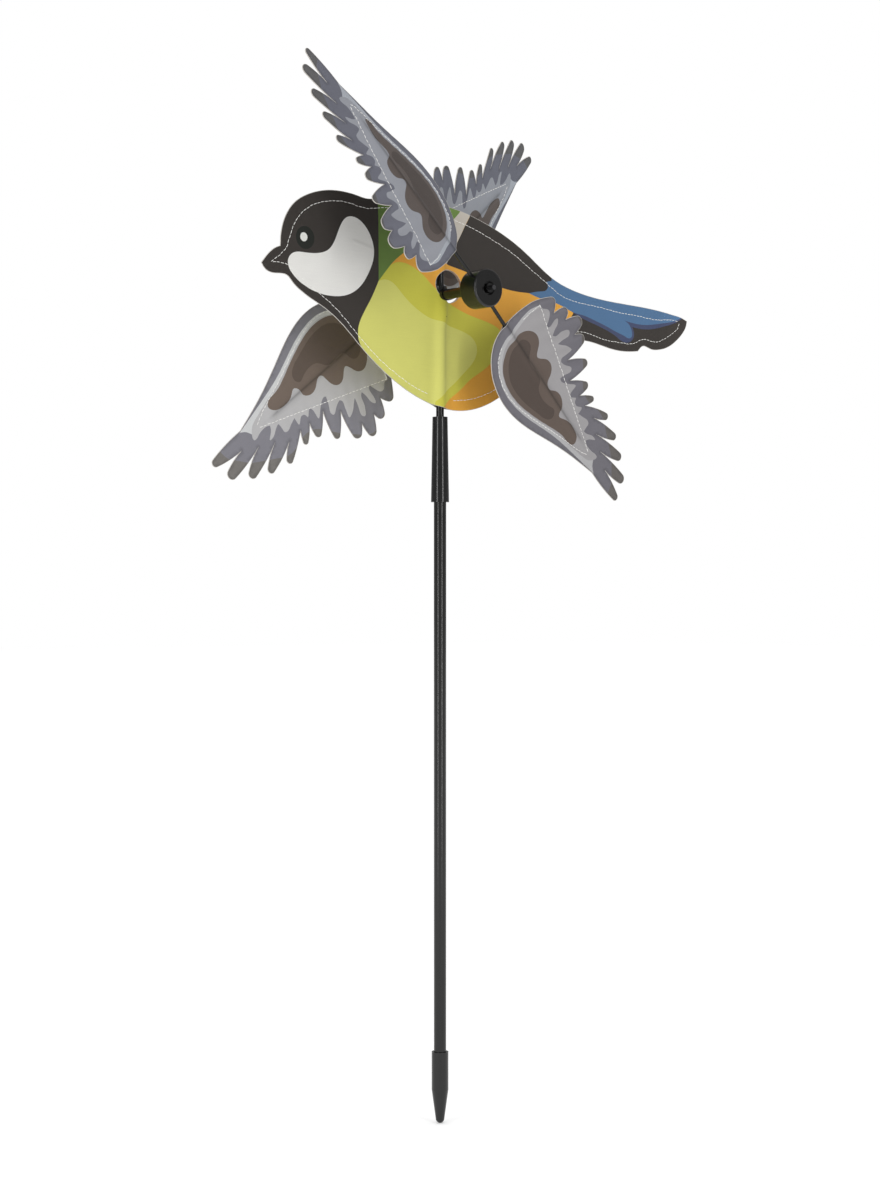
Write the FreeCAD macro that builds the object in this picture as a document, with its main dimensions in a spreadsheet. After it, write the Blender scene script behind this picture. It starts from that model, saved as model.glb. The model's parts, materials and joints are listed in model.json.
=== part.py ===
"""Flying-bird wind spinner on a ground stake, as a FreeCAD 1.1 document (millimetres).

Frame: +Z up along the stake, origin on the stake's axis at the ground line (top of the spike),
-X towards the bird's beak, +X towards its tail, -Y the bird's front side, where the near rotor turns.
"""
import FreeCAD, Part
import math
import os

import Sketcher
from FreeCAD import Placement, Rotation, Vector

X_AXIS = Vector(1, 0, 0)
Y_AXIS = Vector(0, 1, 0)
Z_AXIS = Vector(0, 0, 1)

# Driving dimensions: alias -> (value in mm or degrees, what it is).
DIMENSIONS = {
    # stake
    "spike_diameter": (10.8, "shank of the ground spike"),
    "spike_shank": (24.4, "cylindrical part of the spike below the ground line"),
    "spike_cone": (18.6, "tapered part of the spike"),
    "spike_tip_diameter": (5.6, "rounded end of the spike"),
    "spike_socket_depth": (20.0, "how deep the pole sits in the spike"),
    "pole_diameter": (7.9, "outside of the pole tube"),
    "pole_wall": (1.0, "wall of the pole tube"),
    "pole_length": (398.0, "whole pole tube"),
    "ferrule_length": (54.6, "tapered socket on the pole's top"),
    "ferrule_top_diameter": (9.7, "upper end of the ferrule"),
    "ferrule_base_diameter": (11.6, "lower end of the ferrule"),
    "ferrule_pole_depth": (26.0, "how deep the pole sits in the ferrule"),
    "bush_length": (24.0, "bearing liner of the swivel"),
    "bush_wall": (0.9, "wall of the bearing liner"),
    # clearances
    "glue_gap": (0.05, "radial gap of a glued or pressed seat"),
    "running_gap": (0.05, "radial gap of a running fit"),
    "end_play": (0.15, "axial play at each running end"),
    "fabric_ease": (0.2, "gap between fabric and what it is drawn over"),
    # bird frame
    "neck_height": (78.0, "cross axle above the ferrule's top"),
    "rod_diameter": (5.0, "swivel rod and upper rod"),
    "upper_rod_margin": (8.8, "end of the upper rod below the edge of the bird's back"),
    "rod_cap_wall": (0.8, "wall and top of the cap on the upper rod"),
    "rod_cap_length": (7.0, "whole cap"),
    "fitting_diameter": (9.0, "upright of the cross fitting"),
    "fitting_below": (14.0, "cross fitting below the axle's axis"),
    "fitting_above": (5.5, "cross fitting above the axle's axis"),
    "fitting_web": (3.5, "solid part of the fitting each side of the axle"),
    "fitting_boss_diameter": (7.6, "side bosses of the cross fitting"),
    "fitting_boss_reach": (6.0, "end of a side boss from the stake's axis"),
    "spigot_diameter": (3.0, "spigot of the fitting inside the upper rod"),
    "spigot_length": (8.0, "spigot above the fitting's upright"),
    "axle_diameter": (3.0, "steel cross axle"),
    "axle_stub": (4.6, "axle beyond a hub's outer face"),
    "sleeve_diameter": (6.5, "spacer tube on the axle"),
    "axle_cap_diameter": (6.0, "push-on retainer"),
    "axle_cap_length": (3.0, "push-on retainer"),
    # rotors
    "hub_offset": (38.5, "middle of a hub from the stake's axis"),
    "hub_diameter": (24.0, "hub"),
    "hub_length": (14.7, "hub along the axle"),
    "hub_rim_radius": (1.2, "rounding of the hub's rims"),
    "hub_recess_diameter": (9.0, "recess in a hub's outer face"),
    "hub_recess_depth": (2.0, "recess in a hub's outer face"),
    "spoke_diameter": (2.4, "wing rod"),
    "spoke_root": (3.8, "inner end of a wing rod from the axle's axis"),
    "spoke_tip": (134.0, "outer end of a wing rod from the axle's axis"),
    # fabric
    "fabric_thickness": (0.6, "one printed layer with its hem"),
    "wing_reach": (187.0, "tip of a wing from the axle's axis"),
    "pocket_start": (31.5, "mouth of a wing's rod pocket from the axle's axis"),
    "pocket_end_wall": (1.0, "closed end of a wing's rod pocket"),
    "bird_length": (380.0, "beak to tail"),
    "bird_hole_diameter": (22.0, "round cut-out for the axle"),
    "bird_hole_forward": (5.0, "cut-out's centre towards the tail from the axle"),
    "bird_hole_up": (5.0, "cut-out's centre above the axle"),
    "bird_pocket_margin": (0.4, "mouth of the body's rod pocket above the edge of the belly"),
}

# Where each wing stands at rest, in degrees: direction of its rod in the bird's plane (0 to the tail,
# 90 up), lean of the rod away from the bird, and turn of the cloth about the rod (leading edge away
# from the bird's front side).
WING_POSES = {
    "near_wing_low": (-42.9, -3.9, 1.4),
    "near_wing_high": (135.5, -2.0, 21.3),
    "far_wing_low": (217.5, 1.2, 5.8),
    "far_wing_high": (40.0, 5.8, 16.5),
}

# Wing pattern, x along the rod from the axle's axis, y towards the leading edge.
WING_PATTERN_REACH = 187.0
WING_LEADING_EDGE = [
    (157.0, 5.6), (134.0, 12.7), (110.0, 22.3), (91.0, 30.5), (68.0, 35.6), (45.0, 29.5),
    (33.0, 15.5), (31.0, -3.0), (33.5, -18.0), (36.5, -28.0),
]
# Each feather from the hub outwards: centre and radius of its rounded tip.
WING_FEATHER_TIPS = [
    (49.0, -41.3, 4.2), (61.8, -47.0, 3.4), (74.3, -51.3, 4.0), (85.0, -46.0, 3.7), (98.3, -38.0, 2.8),
    (110.0, -28.7, 2.7), (121.0, -27.5, 2.0), (138.8, -29.3, 2.4), (153.8, -25.8, 2.7),
    (167.0, -20.0, 3.0), (179.3, -11.4, 3.4), (184.4, 0.8, 2.6),
]
# The notch after each feather but the last.
WING_NOTCHES = [
    (55.6, -39.0), (66.0, -44.3), (78.1, -43.3), (86.5, -27.8), (97.6, -20.1), (111.2, -20.1),
    (119.6, -19.6), (131.3, -20.2), (140.5, -14.5), (151.9, -9.5), (164.0, -4.3),
]

# Bird pattern, x towards the tail from the stake's axis, y up from the cross axle.
BIRD_PATTERN_LENGTH = 380.0
BACK_AT_STAKE = 57.8    # height of the back's edge above the axle, on the stake's axis
BELLY_AT_STAKE = 71.4   # depth of the belly's edge below the axle, on the stake's axis
BEAK_TOP = [(-144.0, 6.2), (-137.0, 13.0), (-129.5, 18.6)]
HEAD_AND_BACK = [
    (-129.5, 18.6), (-127.3, 29.5), (-120.0, 42.0), (-108.0, 51.0), (-90.0, 56.0), (-75.0, 56.8),
    (-62.0, 54.3), (-45.0, 55.3), (-15.0, 58.0), (10.0, 57.0), (41.0, 50.0), (76.0, 35.0),
    (104.0, 19.3), (118.0, 15.0), (162.0, 9.7), (211.0, 7.2), (229.0, 5.6), (236.0, 2.0),
]
TAIL_END = [(236.0, 2.0), (227.5, -8.8), (217.0, -16.0), (204.0, -19.3), (190.0, -17.8), (184.5, -21.5)]
BELLY_AND_THROAT = [
    (184.5, -21.5), (160.0, -21.8), (132.0, -18.8), (106.0, -25.0), (80.0, -42.0), (50.0, -63.5),
    (18.0, -73.0), (-10.0, -69.5), (-40.0, -56.5), (-67.0, -37.5), (-100.0, -15.5), (-119.0, -2.5),
    (-129.0, 2.2), (-144.0, 6.2),
]


# ------------------------------------------------------------------ document helpers
def size(alias):
    """Value of one driving dimension."""
    return DIMENSIONS[alias][0]


def bind(item, **expressions):
    """Tie properties of a document object to cells of the spreadsheet."""
    for name, expression in expressions.items():
        item.setExpression(name, expression)
    return item


def make_spreadsheet(doc):
    """Put every driving dimension in a cell of its own, with its alias and its meaning."""
    sheet = doc.addObject("Spreadsheet::Sheet", "dims")
    for row, (alias, (value, note)) in enumerate(DIMENSIONS.items(), start=1):
        sheet.set("A%d" % row, alias)
        sheet.set("B%d" % row, str(value))
        sheet.set("C%d" % row, note)
        sheet.setAlias("B%d" % row, alias)
    doc.recompute()
    return sheet


def name_node(item, node, placement=None):
    """Give a finished sub-part its label, which names its file, and its place."""
    item.Label = node
    if placement is not None:
        item.Placement = placement
    return item


def cylinder(doc, name, radius, length, start=None, angle=360.0):
    """Cylinder along local z; radius, length and start are expressions."""
    item = bind(doc.addObject("Part::Cylinder", name), Radius=radius, Height=length)
    item.Angle = angle
    if start:
        item.setExpression("Placement.Base.z", start)
    return item


def fuse(doc, name, shapes):
    item = doc.addObject("Part::MultiFuse", name)
    item.Shapes = shapes
    item.Refine = True
    return item


def cut(doc, name, base, tool):
    item = doc.addObject("Part::Cut", name)
    item.Base = base
    item.Tool = tool
    item.Refine = True
    return item


def tube(doc, node, outer, length, inner=None, placement=None):
    """Round rod or tube as a body: one pad of one or two circles, all three sizes bound."""
    body = doc.addObject("PartDesign::Body", node + "_body")
    sketch = body.newObject("Sketcher::SketchObject", node + "_section")
    plane = [p for p in body.Origin.OriginFeatures if p.Role == "XY_Plane"][0]
    sketch.AttachmentSupport = (plane, [""])
    sketch.MapMode = "FlatFace"
    for index, diameter in enumerate([outer] + ([inner] if inner else [])):
        sketch.addGeometry(Part.Circle(Vector(0, 0, 0), Z_AXIS, 2.0 - index), False)
        sketch.addConstraint(Sketcher.Constraint("Coincident", index, 3, -1, 1))
        rule = sketch.addConstraint(Sketcher.Constraint("Diameter", index, 4.0 - 2.0 * index))
        sketch.setExpression("Constraints[%d]" % rule, diameter)
    pad = body.newObject("PartDesign::Pad", node + "_pad")
    pad.Profile = sketch
    bind(pad, Length=length)
    return name_node(body, node, placement)


def upright(height):
    """Placement on the stake's axis at one height."""
    return Placement(Vector(0, 0, height), Rotation())


def along_axle(side, offset, height):
    """Placement whose local z runs outwards along the cross axle; side is -1 for the near rotor."""
    turn = Rotation(X_AXIS, -90.0 * side)
    return Placement(Vector(0, side * offset, height), turn)


# ------------------------------------------------------------------ heights that the pieces share
def ferrule_base():
    return size("pole_length") - size("spike_socket_depth") - size("ferrule_pole_depth")


def ferrule_top():
    return ferrule_base() + size("ferrule_length")


def axle_height():
    return ferrule_top() + size("neck_height")


def bird_reach(at_stake, margin):
    """Expression for a distance that ends one margin inside the bird's edge, at any bird length."""
    return "(%g * dims.bird_length / %g - dims.%s)" % (at_stake, BIRD_PATTERN_LENGTH, margin)


def upper_rod_top():
    """Height of the upper rod's end above the cross axle."""
    return BACK_AT_STAKE * size("bird_length") / BIRD_PATTERN_LENGTH - size("upper_rod_margin")


# ------------------------------------------------------------------ stake
def make_ground_spike(doc):
    """Shank, cone and rounded tip in one moulding, with a blind socket for the pole."""
    tip_radius = "dims.spike_tip_diameter / 2"
    shank = cylinder(doc, "spike_shank", "dims.spike_diameter / 2", "dims.spike_shank", "-dims.spike_shank")
    cone = bind(
        doc.addObject("Part::Cone", "spike_cone"),
        Radius1=tip_radius, Radius2="dims.spike_diameter / 2", Height="dims.spike_cone",
    )
    cone.setExpression("Placement.Base.z", "-dims.spike_shank - dims.spike_cone")
    tip = bind(doc.addObject("Part::Sphere", "spike_tip"), Radius=tip_radius)
    tip.setExpression("Placement.Base.z", "-dims.spike_shank - dims.spike_cone")
    socket = cylinder(
        doc, "spike_socket", "dims.pole_diameter / 2 + dims.glue_gap", "dims.spike_socket_depth",
        "-dims.spike_socket_depth",
    )
    solid = fuse(doc, "spike_solid", [shank, cone, tip])
    return name_node(cut(doc, "spike_moulding", solid, socket), "ground_spike")


def make_pole_tube(doc):
    return tube(
        doc, "pole_tube", "dims.pole_diameter", "dims.pole_length",
        "dims.pole_diameter - 2 * dims.pole_wall", upright(-size("spike_socket_depth")),
    )


def make_socket_ferrule(doc):
    """Tapered socket: bored from below for the pole and from above for the bearing liner."""
    outside = bind(
        doc.addObject("Part::Cone", "ferrule_outside"),
        Radius1="dims.ferrule_base_diameter / 2", Radius2="dims.ferrule_top_diameter / 2",
        Height="dims.ferrule_length",
    )
    pole_bore = cylinder(
        doc, "ferrule_pole_bore", "dims.pole_diameter / 2 + dims.glue_gap", "dims.ferrule_pole_depth"
    )
    bush_bore = cylinder(
        doc, "ferrule_bush_bore",
        "dims.rod_diameter / 2 + dims.running_gap + dims.bush_wall + dims.glue_gap",
        "dims.bush_length", "dims.ferrule_length - dims.bush_length",
    )
    bores = fuse(doc, "ferrule_bores", [pole_bore, bush_bore])
    return name_node(
        cut(doc, "ferrule_moulding", outside, bores), "socket_ferrule", upright(ferrule_base())
    )


def make_socket_bush(doc):
    """Bearing liner that fills the ferrule's upper bore."""
    inner = "dims.rod_diameter + 2 * dims.running_gap"
    return tube(
        doc, "socket_bush", inner + " + 2 * dims.bush_wall", "dims.bush_length", inner,
        upright(ferrule_top() - size("bush_length")),
    )


# ------------------------------------------------------------------ bird frame
def make_swivel_rod(doc):
    """Rod from the bottom of the liner, less its end play, into the cross fitting's lower socket."""
    foot = ferrule_top() - size("bush_length") + size("end_play")
    return tube(
        doc, "swivel_rod", "dims.rod_diameter",
        "dims.neck_height + dims.bush_length - dims.end_play - dims.fitting_web - dims.glue_gap",
        placement=upright(foot),
    )


def make_cross_fitting(doc):
    """Upright with a lower socket, two side bosses bored for the axle, and a spigot on top."""
    uprights = cylinder(
        doc, "fitting_upright", "dims.fitting_diameter / 2", "dims.fitting_below + dims.fitting_above",
        "-dims.fitting_below",
    )
    spigot = cylinder(
        doc, "fitting_spigot", "dims.spigot_diameter / 2", "dims.fitting_above + dims.spigot_length"
    )
    bosses = across(doc, "fitting_bosses", "dims.fitting_boss_diameter / 2", "dims.fitting_boss_reach")
    solid = fuse(doc, "fitting_solid", [uprights, spigot, bosses])
    socket = cylinder(
        doc, "fitting_socket", "dims.rod_diameter / 2 + dims.glue_gap",
        "dims.fitting_below - dims.fitting_web", "-dims.fitting_below",
    )
    bore = across(
        doc, "fitting_bore", "dims.axle_diameter / 2 + dims.glue_gap", "2 * dims.fitting_boss_reach"
    )
    holes = fuse(doc, "fitting_holes", [socket, bore])
    return name_node(cut(doc, "fitting_moulding", solid, holes), "cross_fitting", upright(axle_height()))


def across(doc, name, radius, reach):
    """Cylinder along Y through the origin, to reach on both sides."""
    item = cylinder(doc, name, radius, "2 * (%s)" % reach)
    item.Placement.Rotation = Rotation(X_AXIS, 90.0)
    item.setExpression("Placement.Base.y", reach)
    return item


def make_upper_rod(doc):
    """Tube that slides over the fitting's spigot and holds the body's back up."""
    return tube(
        doc, "upper_rod", "dims.rod_diameter",
        bird_reach(BACK_AT_STAKE, "upper_rod_margin") + " - dims.fitting_above - dims.glue_gap",
        "dims.spigot_diameter + 2 * dims.glue_gap",
        upright(axle_height() + size("fitting_above") + size("glue_gap")),
    )


def make_rod_cap(doc):
    """Cap over the upper rod's end."""
    outside = cylinder(
        doc, "rod_cap_outside", "dims.rod_diameter / 2 + dims.glue_gap + dims.rod_cap_wall",
        "dims.rod_cap_length",
    )
    bore = cylinder(
        doc, "rod_cap_bore", "dims.rod_diameter / 2 + dims.glue_gap",
        "dims.rod_cap_length - dims.rod_cap_wall",
    )
    top = axle_height() + upper_rod_top() + size("glue_gap") + size("rod_cap_wall")
    foot = upright(top - size("rod_cap_length"))
    return name_node(cut(doc, "rod_cap_moulding", outside, bore), "rod_cap", foot)


def hub_inner_face():
    return size("hub_offset") - size("hub_length") / 2


def hub_outer_face():
    return size("hub_offset") + size("hub_length") / 2


def make_axle_pin(doc):
    """Steel axle through fitting, sleeves, hubs and caps."""
    half = hub_outer_face() + size("axle_stub")
    return tube(
        doc, "axle_pin", "dims.axle_diameter",
        "2 * dims.hub_offset + dims.hub_length + 2 * dims.axle_stub",
        placement=along_axle(1, -half, axle_height()),
    )


def make_sleeve(doc, rotor, side):
    """Spacer tube from the fitting's boss to the hub, less its end play."""
    start = size("fitting_boss_reach") + size("glue_gap")
    return tube(
        doc, rotor + "_sleeve", "dims.sleeve_diameter",
        "dims.hub_offset - dims.hub_length / 2 - dims.fitting_boss_reach - dims.glue_gap - dims.end_play",
        "dims.axle_diameter + 2 * dims.glue_gap", along_axle(side, start, axle_height()),
    )


def make_axle_cap(doc, rotor, side):
    """Push-on retainer in the hub's recess, its end play off the recess floor."""
    start = hub_outer_face() - size("hub_recess_depth") + size("end_play")
    return tube(
        doc, rotor + "_axle_cap", "dims.axle_cap_diameter", "dims.axle_cap_length",
        "dims.axle_diameter + 2 * dims.glue_gap", along_axle(side, start, axle_height()),
    )


# ------------------------------------------------------------------ rotors
def wing_frame(wing, side):
    """Placement of a wing: local x out along its rod, local y to the leading edge, local z to the back."""
    direction, lean, turn = (math.radians(angle) for angle in WING_POSES[wing])
    in_plane = Vector(math.cos(direction), 0, math.sin(direction))
    rod = in_plane * math.cos(lean) + Y_AXIS * side * math.sin(lean)
    edge_flat = Vector(math.sin(direction), 0, -math.cos(direction))
    normal = rod.cross(edge_flat).normalize()
    edge_square = normal.cross(rod)
    edge = edge_square * math.cos(turn) + normal * math.sin(turn)
    centre = Vector(0, side * size("hub_offset"), axle_height())
    return Placement(centre, Rotation(rod, edge, rod.cross(edge), "XYZ"))


def rod_cylinder(doc, name, radius, start, end, frame):
    """Cylinder along a wing frame's x from start to end, both expressions."""
    item = cylinder(doc, name, radius, "(%s) - (%s)" % (end, start))
    turn = Rotation(Y_AXIS, 90.0)
    item.Placement = frame.multiply(Placement(Vector(0, 0, 0), turn))
    axis = item.Placement.Rotation.multVec(Z_AXIS)
    for letter, part, origin in zip("xyz", axis, frame.Base):
        item.setExpression("Placement.Base." + letter, "%.9f + %.9f * (%s)" % (origin, part, start))
    return item


def make_hub(doc, rotor, side, frames):
    """Round hub with rounded rims, an axle bore, an outer recess and one socket per wing rod."""
    blank = cylinder(doc, rotor + "_hub_blank", "dims.hub_diameter / 2", "dims.hub_length")
    doc.recompute()
    rounded = doc.addObject("Part::Fillet", rotor + "_hub_rounded")
    rounded.Base = blank
    rims = [i for i, edge in enumerate(blank.Shape.Edges, start=1) if isinstance(edge.Curve, Part.Circle)]
    rounded.Edges = [(rim, size("hub_rim_radius"), size("hub_rim_radius")) for rim in rims]
    bore = cylinder(
        doc, rotor + "_hub_bore", "dims.axle_diameter / 2 + dims.running_gap", "dims.hub_length"
    )
    recess = cylinder(
        doc, rotor + "_hub_recess", "dims.hub_recess_diameter / 2", "dims.hub_recess_depth",
        "dims.hub_length - dims.hub_recess_depth",
    )
    turned = cut(doc, rotor + "_hub_turned", rounded, fuse(doc, rotor + "_hub_bores", [bore, recess]))
    turned.Placement = along_axle(side, hub_inner_face(), axle_height())
    sockets = [
        rod_cylinder(
            doc, "%s_hub_socket_%d" % (rotor, i), "dims.spoke_diameter / 2 + dims.glue_gap",
            "dims.spoke_root - dims.glue_gap", "dims.hub_diameter", frame,
        )
        for i, frame in enumerate(frames)
    ]
    sockets = fuse(doc, rotor + "_hub_sockets", sockets)
    return name_node(cut(doc, rotor + "_hub_moulding", turned, sockets), rotor + "_hub")


def make_spoke(doc, node, frame):
    """Wing rod from its socket in the hub to the closed end of the wing's pocket."""
    root = frame.multiply(Placement(Vector(size("spoke_root"), 0, 0), Rotation(Y_AXIS, 90.0)))
    return tube(doc, node, "dims.spoke_diameter", "dims.spoke_tip - dims.spoke_root", placement=root)


# ------------------------------------------------------------------ fabric
def spline(points, scale):
    """Smooth curve through a list of pattern points."""
    curve = Part.BSplineCurve()
    curve.interpolate([Vector(x * scale, y * scale, 0) for x, y in points])
    return curve


def feather(notch, tip, next_notch, scale):
    """Straight side, round tip and straight side of one feather, from notch to notch."""
    centre = Vector(tip[0], tip[1], 0) * scale
    radius = tip[2] * scale
    ends = []
    for point, sense in ((notch, 1), (next_notch, -1)):
        offset = Vector(point[0], point[1], 0) * scale - centre
        ends.append(math.atan2(offset.y, offset.x) + sense * math.acos(radius / offset.Length))
    start, end = ends
    middle = start + ((end - start) % (2 * math.pi)) / 2
    rim = [centre + Vector(math.cos(a), math.sin(a), 0) * radius for a in (start, middle, end)]
    return [
        Part.LineSegment(Vector(notch[0], notch[1], 0) * scale, rim[0]),
        Part.Arc(*rim),
        Part.LineSegment(rim[2], Vector(next_notch[0], next_notch[1], 0) * scale),
    ]


def wing_outline(scale):
    """Leading edge, then the feathers from the hub outwards."""
    edges = [spline(WING_LEADING_EDGE, scale)]
    notches = [WING_LEADING_EDGE[-1]] + WING_NOTCHES + [WING_LEADING_EDGE[0]]
    for notch, tip, next_notch in zip(notches, WING_FEATHER_TIPS, notches[1:]):
        edges.extend(feather(notch, tip, next_notch, scale))
    return edges


def bird_outline(scale):
    return [spline(part, scale) for part in (BEAK_TOP, HEAD_AND_BACK, TAIL_END, BELLY_AND_THROAT)]


def outline_sketch(doc, name, curves):
    """Sketch of an outline, in the XY plane of its own frame."""
    sketch = doc.addObject("Sketcher::SketchObject", name)
    for curve in curves:
        sketch.addGeometry(curve, False)
    return sketch


def flat_layer(doc, name, sketch, facing):
    """One cloth layer lying on z = 0, on the side that facing (1 or -1) gives."""
    item = doc.addObject("Part::Extrusion", name)
    item.Base = sketch
    item.DirMode = "Custom"
    item.Dir = Z_AXIS * facing
    item.Solid = True
    return bind(item, LengthFwd="dims.fabric_thickness")


def make_wing_layer(doc, node, sketch, facing, frame):
    """Flat cloth with half of the rod's pocket raised on it."""
    reach = "dims.spoke_diameter / 2 + dims.fabric_ease"
    pocket = cylinder(
        doc, node + "_pocket", reach + " + dims.fabric_thickness",
        "dims.spoke_tip + dims.pocket_end_wall + dims.glue_gap - dims.pocket_start", angle=180.0,
    )
    pocket.Placement.Rotation = Rotation(Y_AXIS * facing, Z_AXIS * facing, X_AXIS, "ZXY")
    pocket.setExpression("Placement.Base.x", "dims.pocket_start")
    cloth = fuse(doc, node + "_cloth", [flat_layer(doc, node + "_flat", sketch, facing), pocket])
    bore = cylinder(doc, node + "_bore", reach, "dims.spoke_tip + dims.glue_gap")
    bore.Placement.Rotation = Rotation(Y_AXIS, 90.0)
    return name_node(cut(doc, node + "_layer", cloth, bore), node, frame)


def make_bird_layer(doc, node, sketch, facing):
    """Flat cloth with half of the upright pocket raised on it and the round cut-out for the axle."""
    reach = "dims.fitting_diameter / 2 + dims.fabric_ease"
    top = bird_reach(BACK_AT_STAKE, "upper_rod_margin")
    top += " + dims.rod_cap_wall + 2 * dims.glue_gap + dims.fabric_ease"
    bottom = bird_reach(BELLY_AT_STAKE, "bird_pocket_margin")
    pocket = cylinder(
        doc, node + "_pocket", reach + " + dims.fabric_thickness",
        top + " + dims.fabric_thickness + " + bottom, angle=180.0,
    )
    pocket.Placement.Rotation = Rotation(X_AXIS * -facing, Z_AXIS * facing, Y_AXIS, "ZXY")
    pocket.setExpression("Placement.Base.y", "-" + bottom)
    cloth = fuse(doc, node + "_cloth", [flat_layer(doc, node + "_flat", sketch, facing), pocket])
    bore = cylinder(doc, node + "_bore", reach, top + " + 2 * " + bottom)
    bore.Placement.Rotation = Rotation(X_AXIS, -90.0)
    bore.setExpression("Placement.Base.y", "-2 * " + bottom)
    hole = cylinder(
        doc, node + "_hole", "dims.bird_hole_diameter / 2", "4 * dims.fitting_diameter",
        "-2 * dims.fitting_diameter",
    )
    bind(hole, **{"Placement.Base.x": "dims.bird_hole_forward", "Placement.Base.y": "dims.bird_hole_up"})
    layer = cut(doc, node + "_layer", cloth, fuse(doc, node + "_openings", [bore, hole]))
    return name_node(layer, node, Placement(Vector(0, 0, axle_height()), Rotation(X_AXIS, 90.0)))


# ------------------------------------------------------------------ whole object
def make_stake(doc):
    return [make_ground_spike(doc), make_pole_tube(doc), make_socket_ferrule(doc), make_socket_bush(doc)]


def make_bird(doc):
    scale = size("bird_length") / BIRD_PATTERN_LENGTH
    sketch = outline_sketch(doc, "bird_pattern", bird_outline(scale))
    nodes = [
        make_swivel_rod(doc), make_cross_fitting(doc), make_upper_rod(doc), make_rod_cap(doc),
        make_axle_pin(doc),
    ]
    for rotor, side in (("near", -1), ("far", 1)):
        nodes.append(make_sleeve(doc, rotor, side))
        nodes.append(make_axle_cap(doc, rotor, side))
    nodes.append(make_bird_layer(doc, "bird_layer_front", sketch, 1))
    nodes.append(make_bird_layer(doc, "bird_layer_back", sketch, -1))
    return nodes


def make_rotor(doc, rotor, side, wing_sketch):
    """One hub with its two wing rods and the two cloth layers of each wing."""
    frames = {place: wing_frame("%s_wing_%s" % (rotor, place), side) for place in ("low", "high")}
    nodes = [make_hub(doc, rotor, side, list(frames.values()))]
    for place, frame in frames.items():
        wing = "%s_wing_%s" % (rotor, place)
        nodes.append(make_spoke(doc, "%s_spoke_%s" % (rotor, place), frame))
        nodes.append(make_wing_layer(doc, wing + "_front", wing_sketch, -1, frame))
        nodes.append(make_wing_layer(doc, wing + "_back", wing_sketch, 1, frame))
    return nodes


def check_and_export(doc, nodes):
    """Stop on any failed object or bad solid, then write one STEP file per sub-part."""
    for item in doc.Objects:
        if "Invalid" in item.State or "Error" in item.State:
            raise RuntimeError("%s failed: %s" % (item.Name, item.State))
    for node in nodes:
        shape = node.Shape
        if shape.isNull() or not shape.isValid() or len(shape.Solids) != 1:
            raise RuntimeError("%s is not one valid solid" % node.Label)
    os.makedirs("parts", exist_ok=True)
    for node in nodes:
        node.Shape.exportStep(os.path.join("parts", node.Label + ".step"))
        box = node.Shape.BoundBox
        print("%-24s volume %10.2f  x %7.1f %7.1f  y %7.1f %7.1f  z %7.1f %7.1f" % (
            node.Label, node.Shape.Volume, box.XMin, box.XMax, box.YMin, box.YMax, box.ZMin, box.ZMax))


def main():
    doc = FreeCAD.newDocument("flying_bird_spinner")
    make_spreadsheet(doc)
    wing_scale = size("wing_reach") / WING_PATTERN_REACH
    wing_sketch = outline_sketch(doc, "wing_pattern", wing_outline(wing_scale))
    nodes = make_stake(doc) + make_bird(doc)
    for rotor, side in (("near", -1), ("far", 1)):
        nodes += make_rotor(doc, rotor, side, wing_sketch)
    doc.recompute()
    check_and_export(doc, nodes)


main()
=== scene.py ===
"""Flying-bird wind spinner: printed cloth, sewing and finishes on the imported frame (metres).

Patterns are drawn in millimetres on the flat cloth. The bird's pattern has x towards the tail and
y up from the cross axle. A wing's pattern has x out along its rod and y to the leading edge.
"""

import json
import logging
import math
from dataclasses import dataclass, field
from enum import Enum
from typing import Any, Callable, Sequence

import bpy
import numpy as np
from mathutils import Matrix, Vector
from mathutils.geometry import delaunay_2d_cdt

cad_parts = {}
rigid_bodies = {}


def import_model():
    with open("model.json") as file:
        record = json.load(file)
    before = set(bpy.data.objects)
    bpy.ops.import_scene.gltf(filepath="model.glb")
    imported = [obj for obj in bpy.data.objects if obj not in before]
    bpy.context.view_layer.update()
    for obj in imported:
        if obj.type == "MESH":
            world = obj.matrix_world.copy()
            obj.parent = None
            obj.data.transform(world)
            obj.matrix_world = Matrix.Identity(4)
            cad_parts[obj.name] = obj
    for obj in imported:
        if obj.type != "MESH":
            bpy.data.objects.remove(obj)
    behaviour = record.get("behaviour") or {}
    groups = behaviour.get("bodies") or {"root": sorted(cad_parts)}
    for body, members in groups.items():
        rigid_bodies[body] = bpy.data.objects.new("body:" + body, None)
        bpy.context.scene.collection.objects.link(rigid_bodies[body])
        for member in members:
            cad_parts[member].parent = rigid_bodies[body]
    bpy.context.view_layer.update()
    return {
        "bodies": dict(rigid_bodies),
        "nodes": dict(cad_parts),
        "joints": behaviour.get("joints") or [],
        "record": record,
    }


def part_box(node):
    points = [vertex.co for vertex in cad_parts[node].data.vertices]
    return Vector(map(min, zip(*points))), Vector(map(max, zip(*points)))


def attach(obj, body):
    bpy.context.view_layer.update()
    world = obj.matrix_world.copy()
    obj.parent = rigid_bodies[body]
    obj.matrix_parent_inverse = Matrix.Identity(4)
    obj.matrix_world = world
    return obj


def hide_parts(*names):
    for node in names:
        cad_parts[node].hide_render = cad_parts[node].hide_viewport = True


Point = tuple[float, float]
Pair = tuple[float, float]
Points = Sequence[Point]
Triple = tuple[float, float, float]
Faces = list[list[int]]
Tube = tuple[np.ndarray, Faces]
Shape = Callable[[np.ndarray], np.ndarray]
Materials = dict[str, bpy.types.Material]

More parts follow.
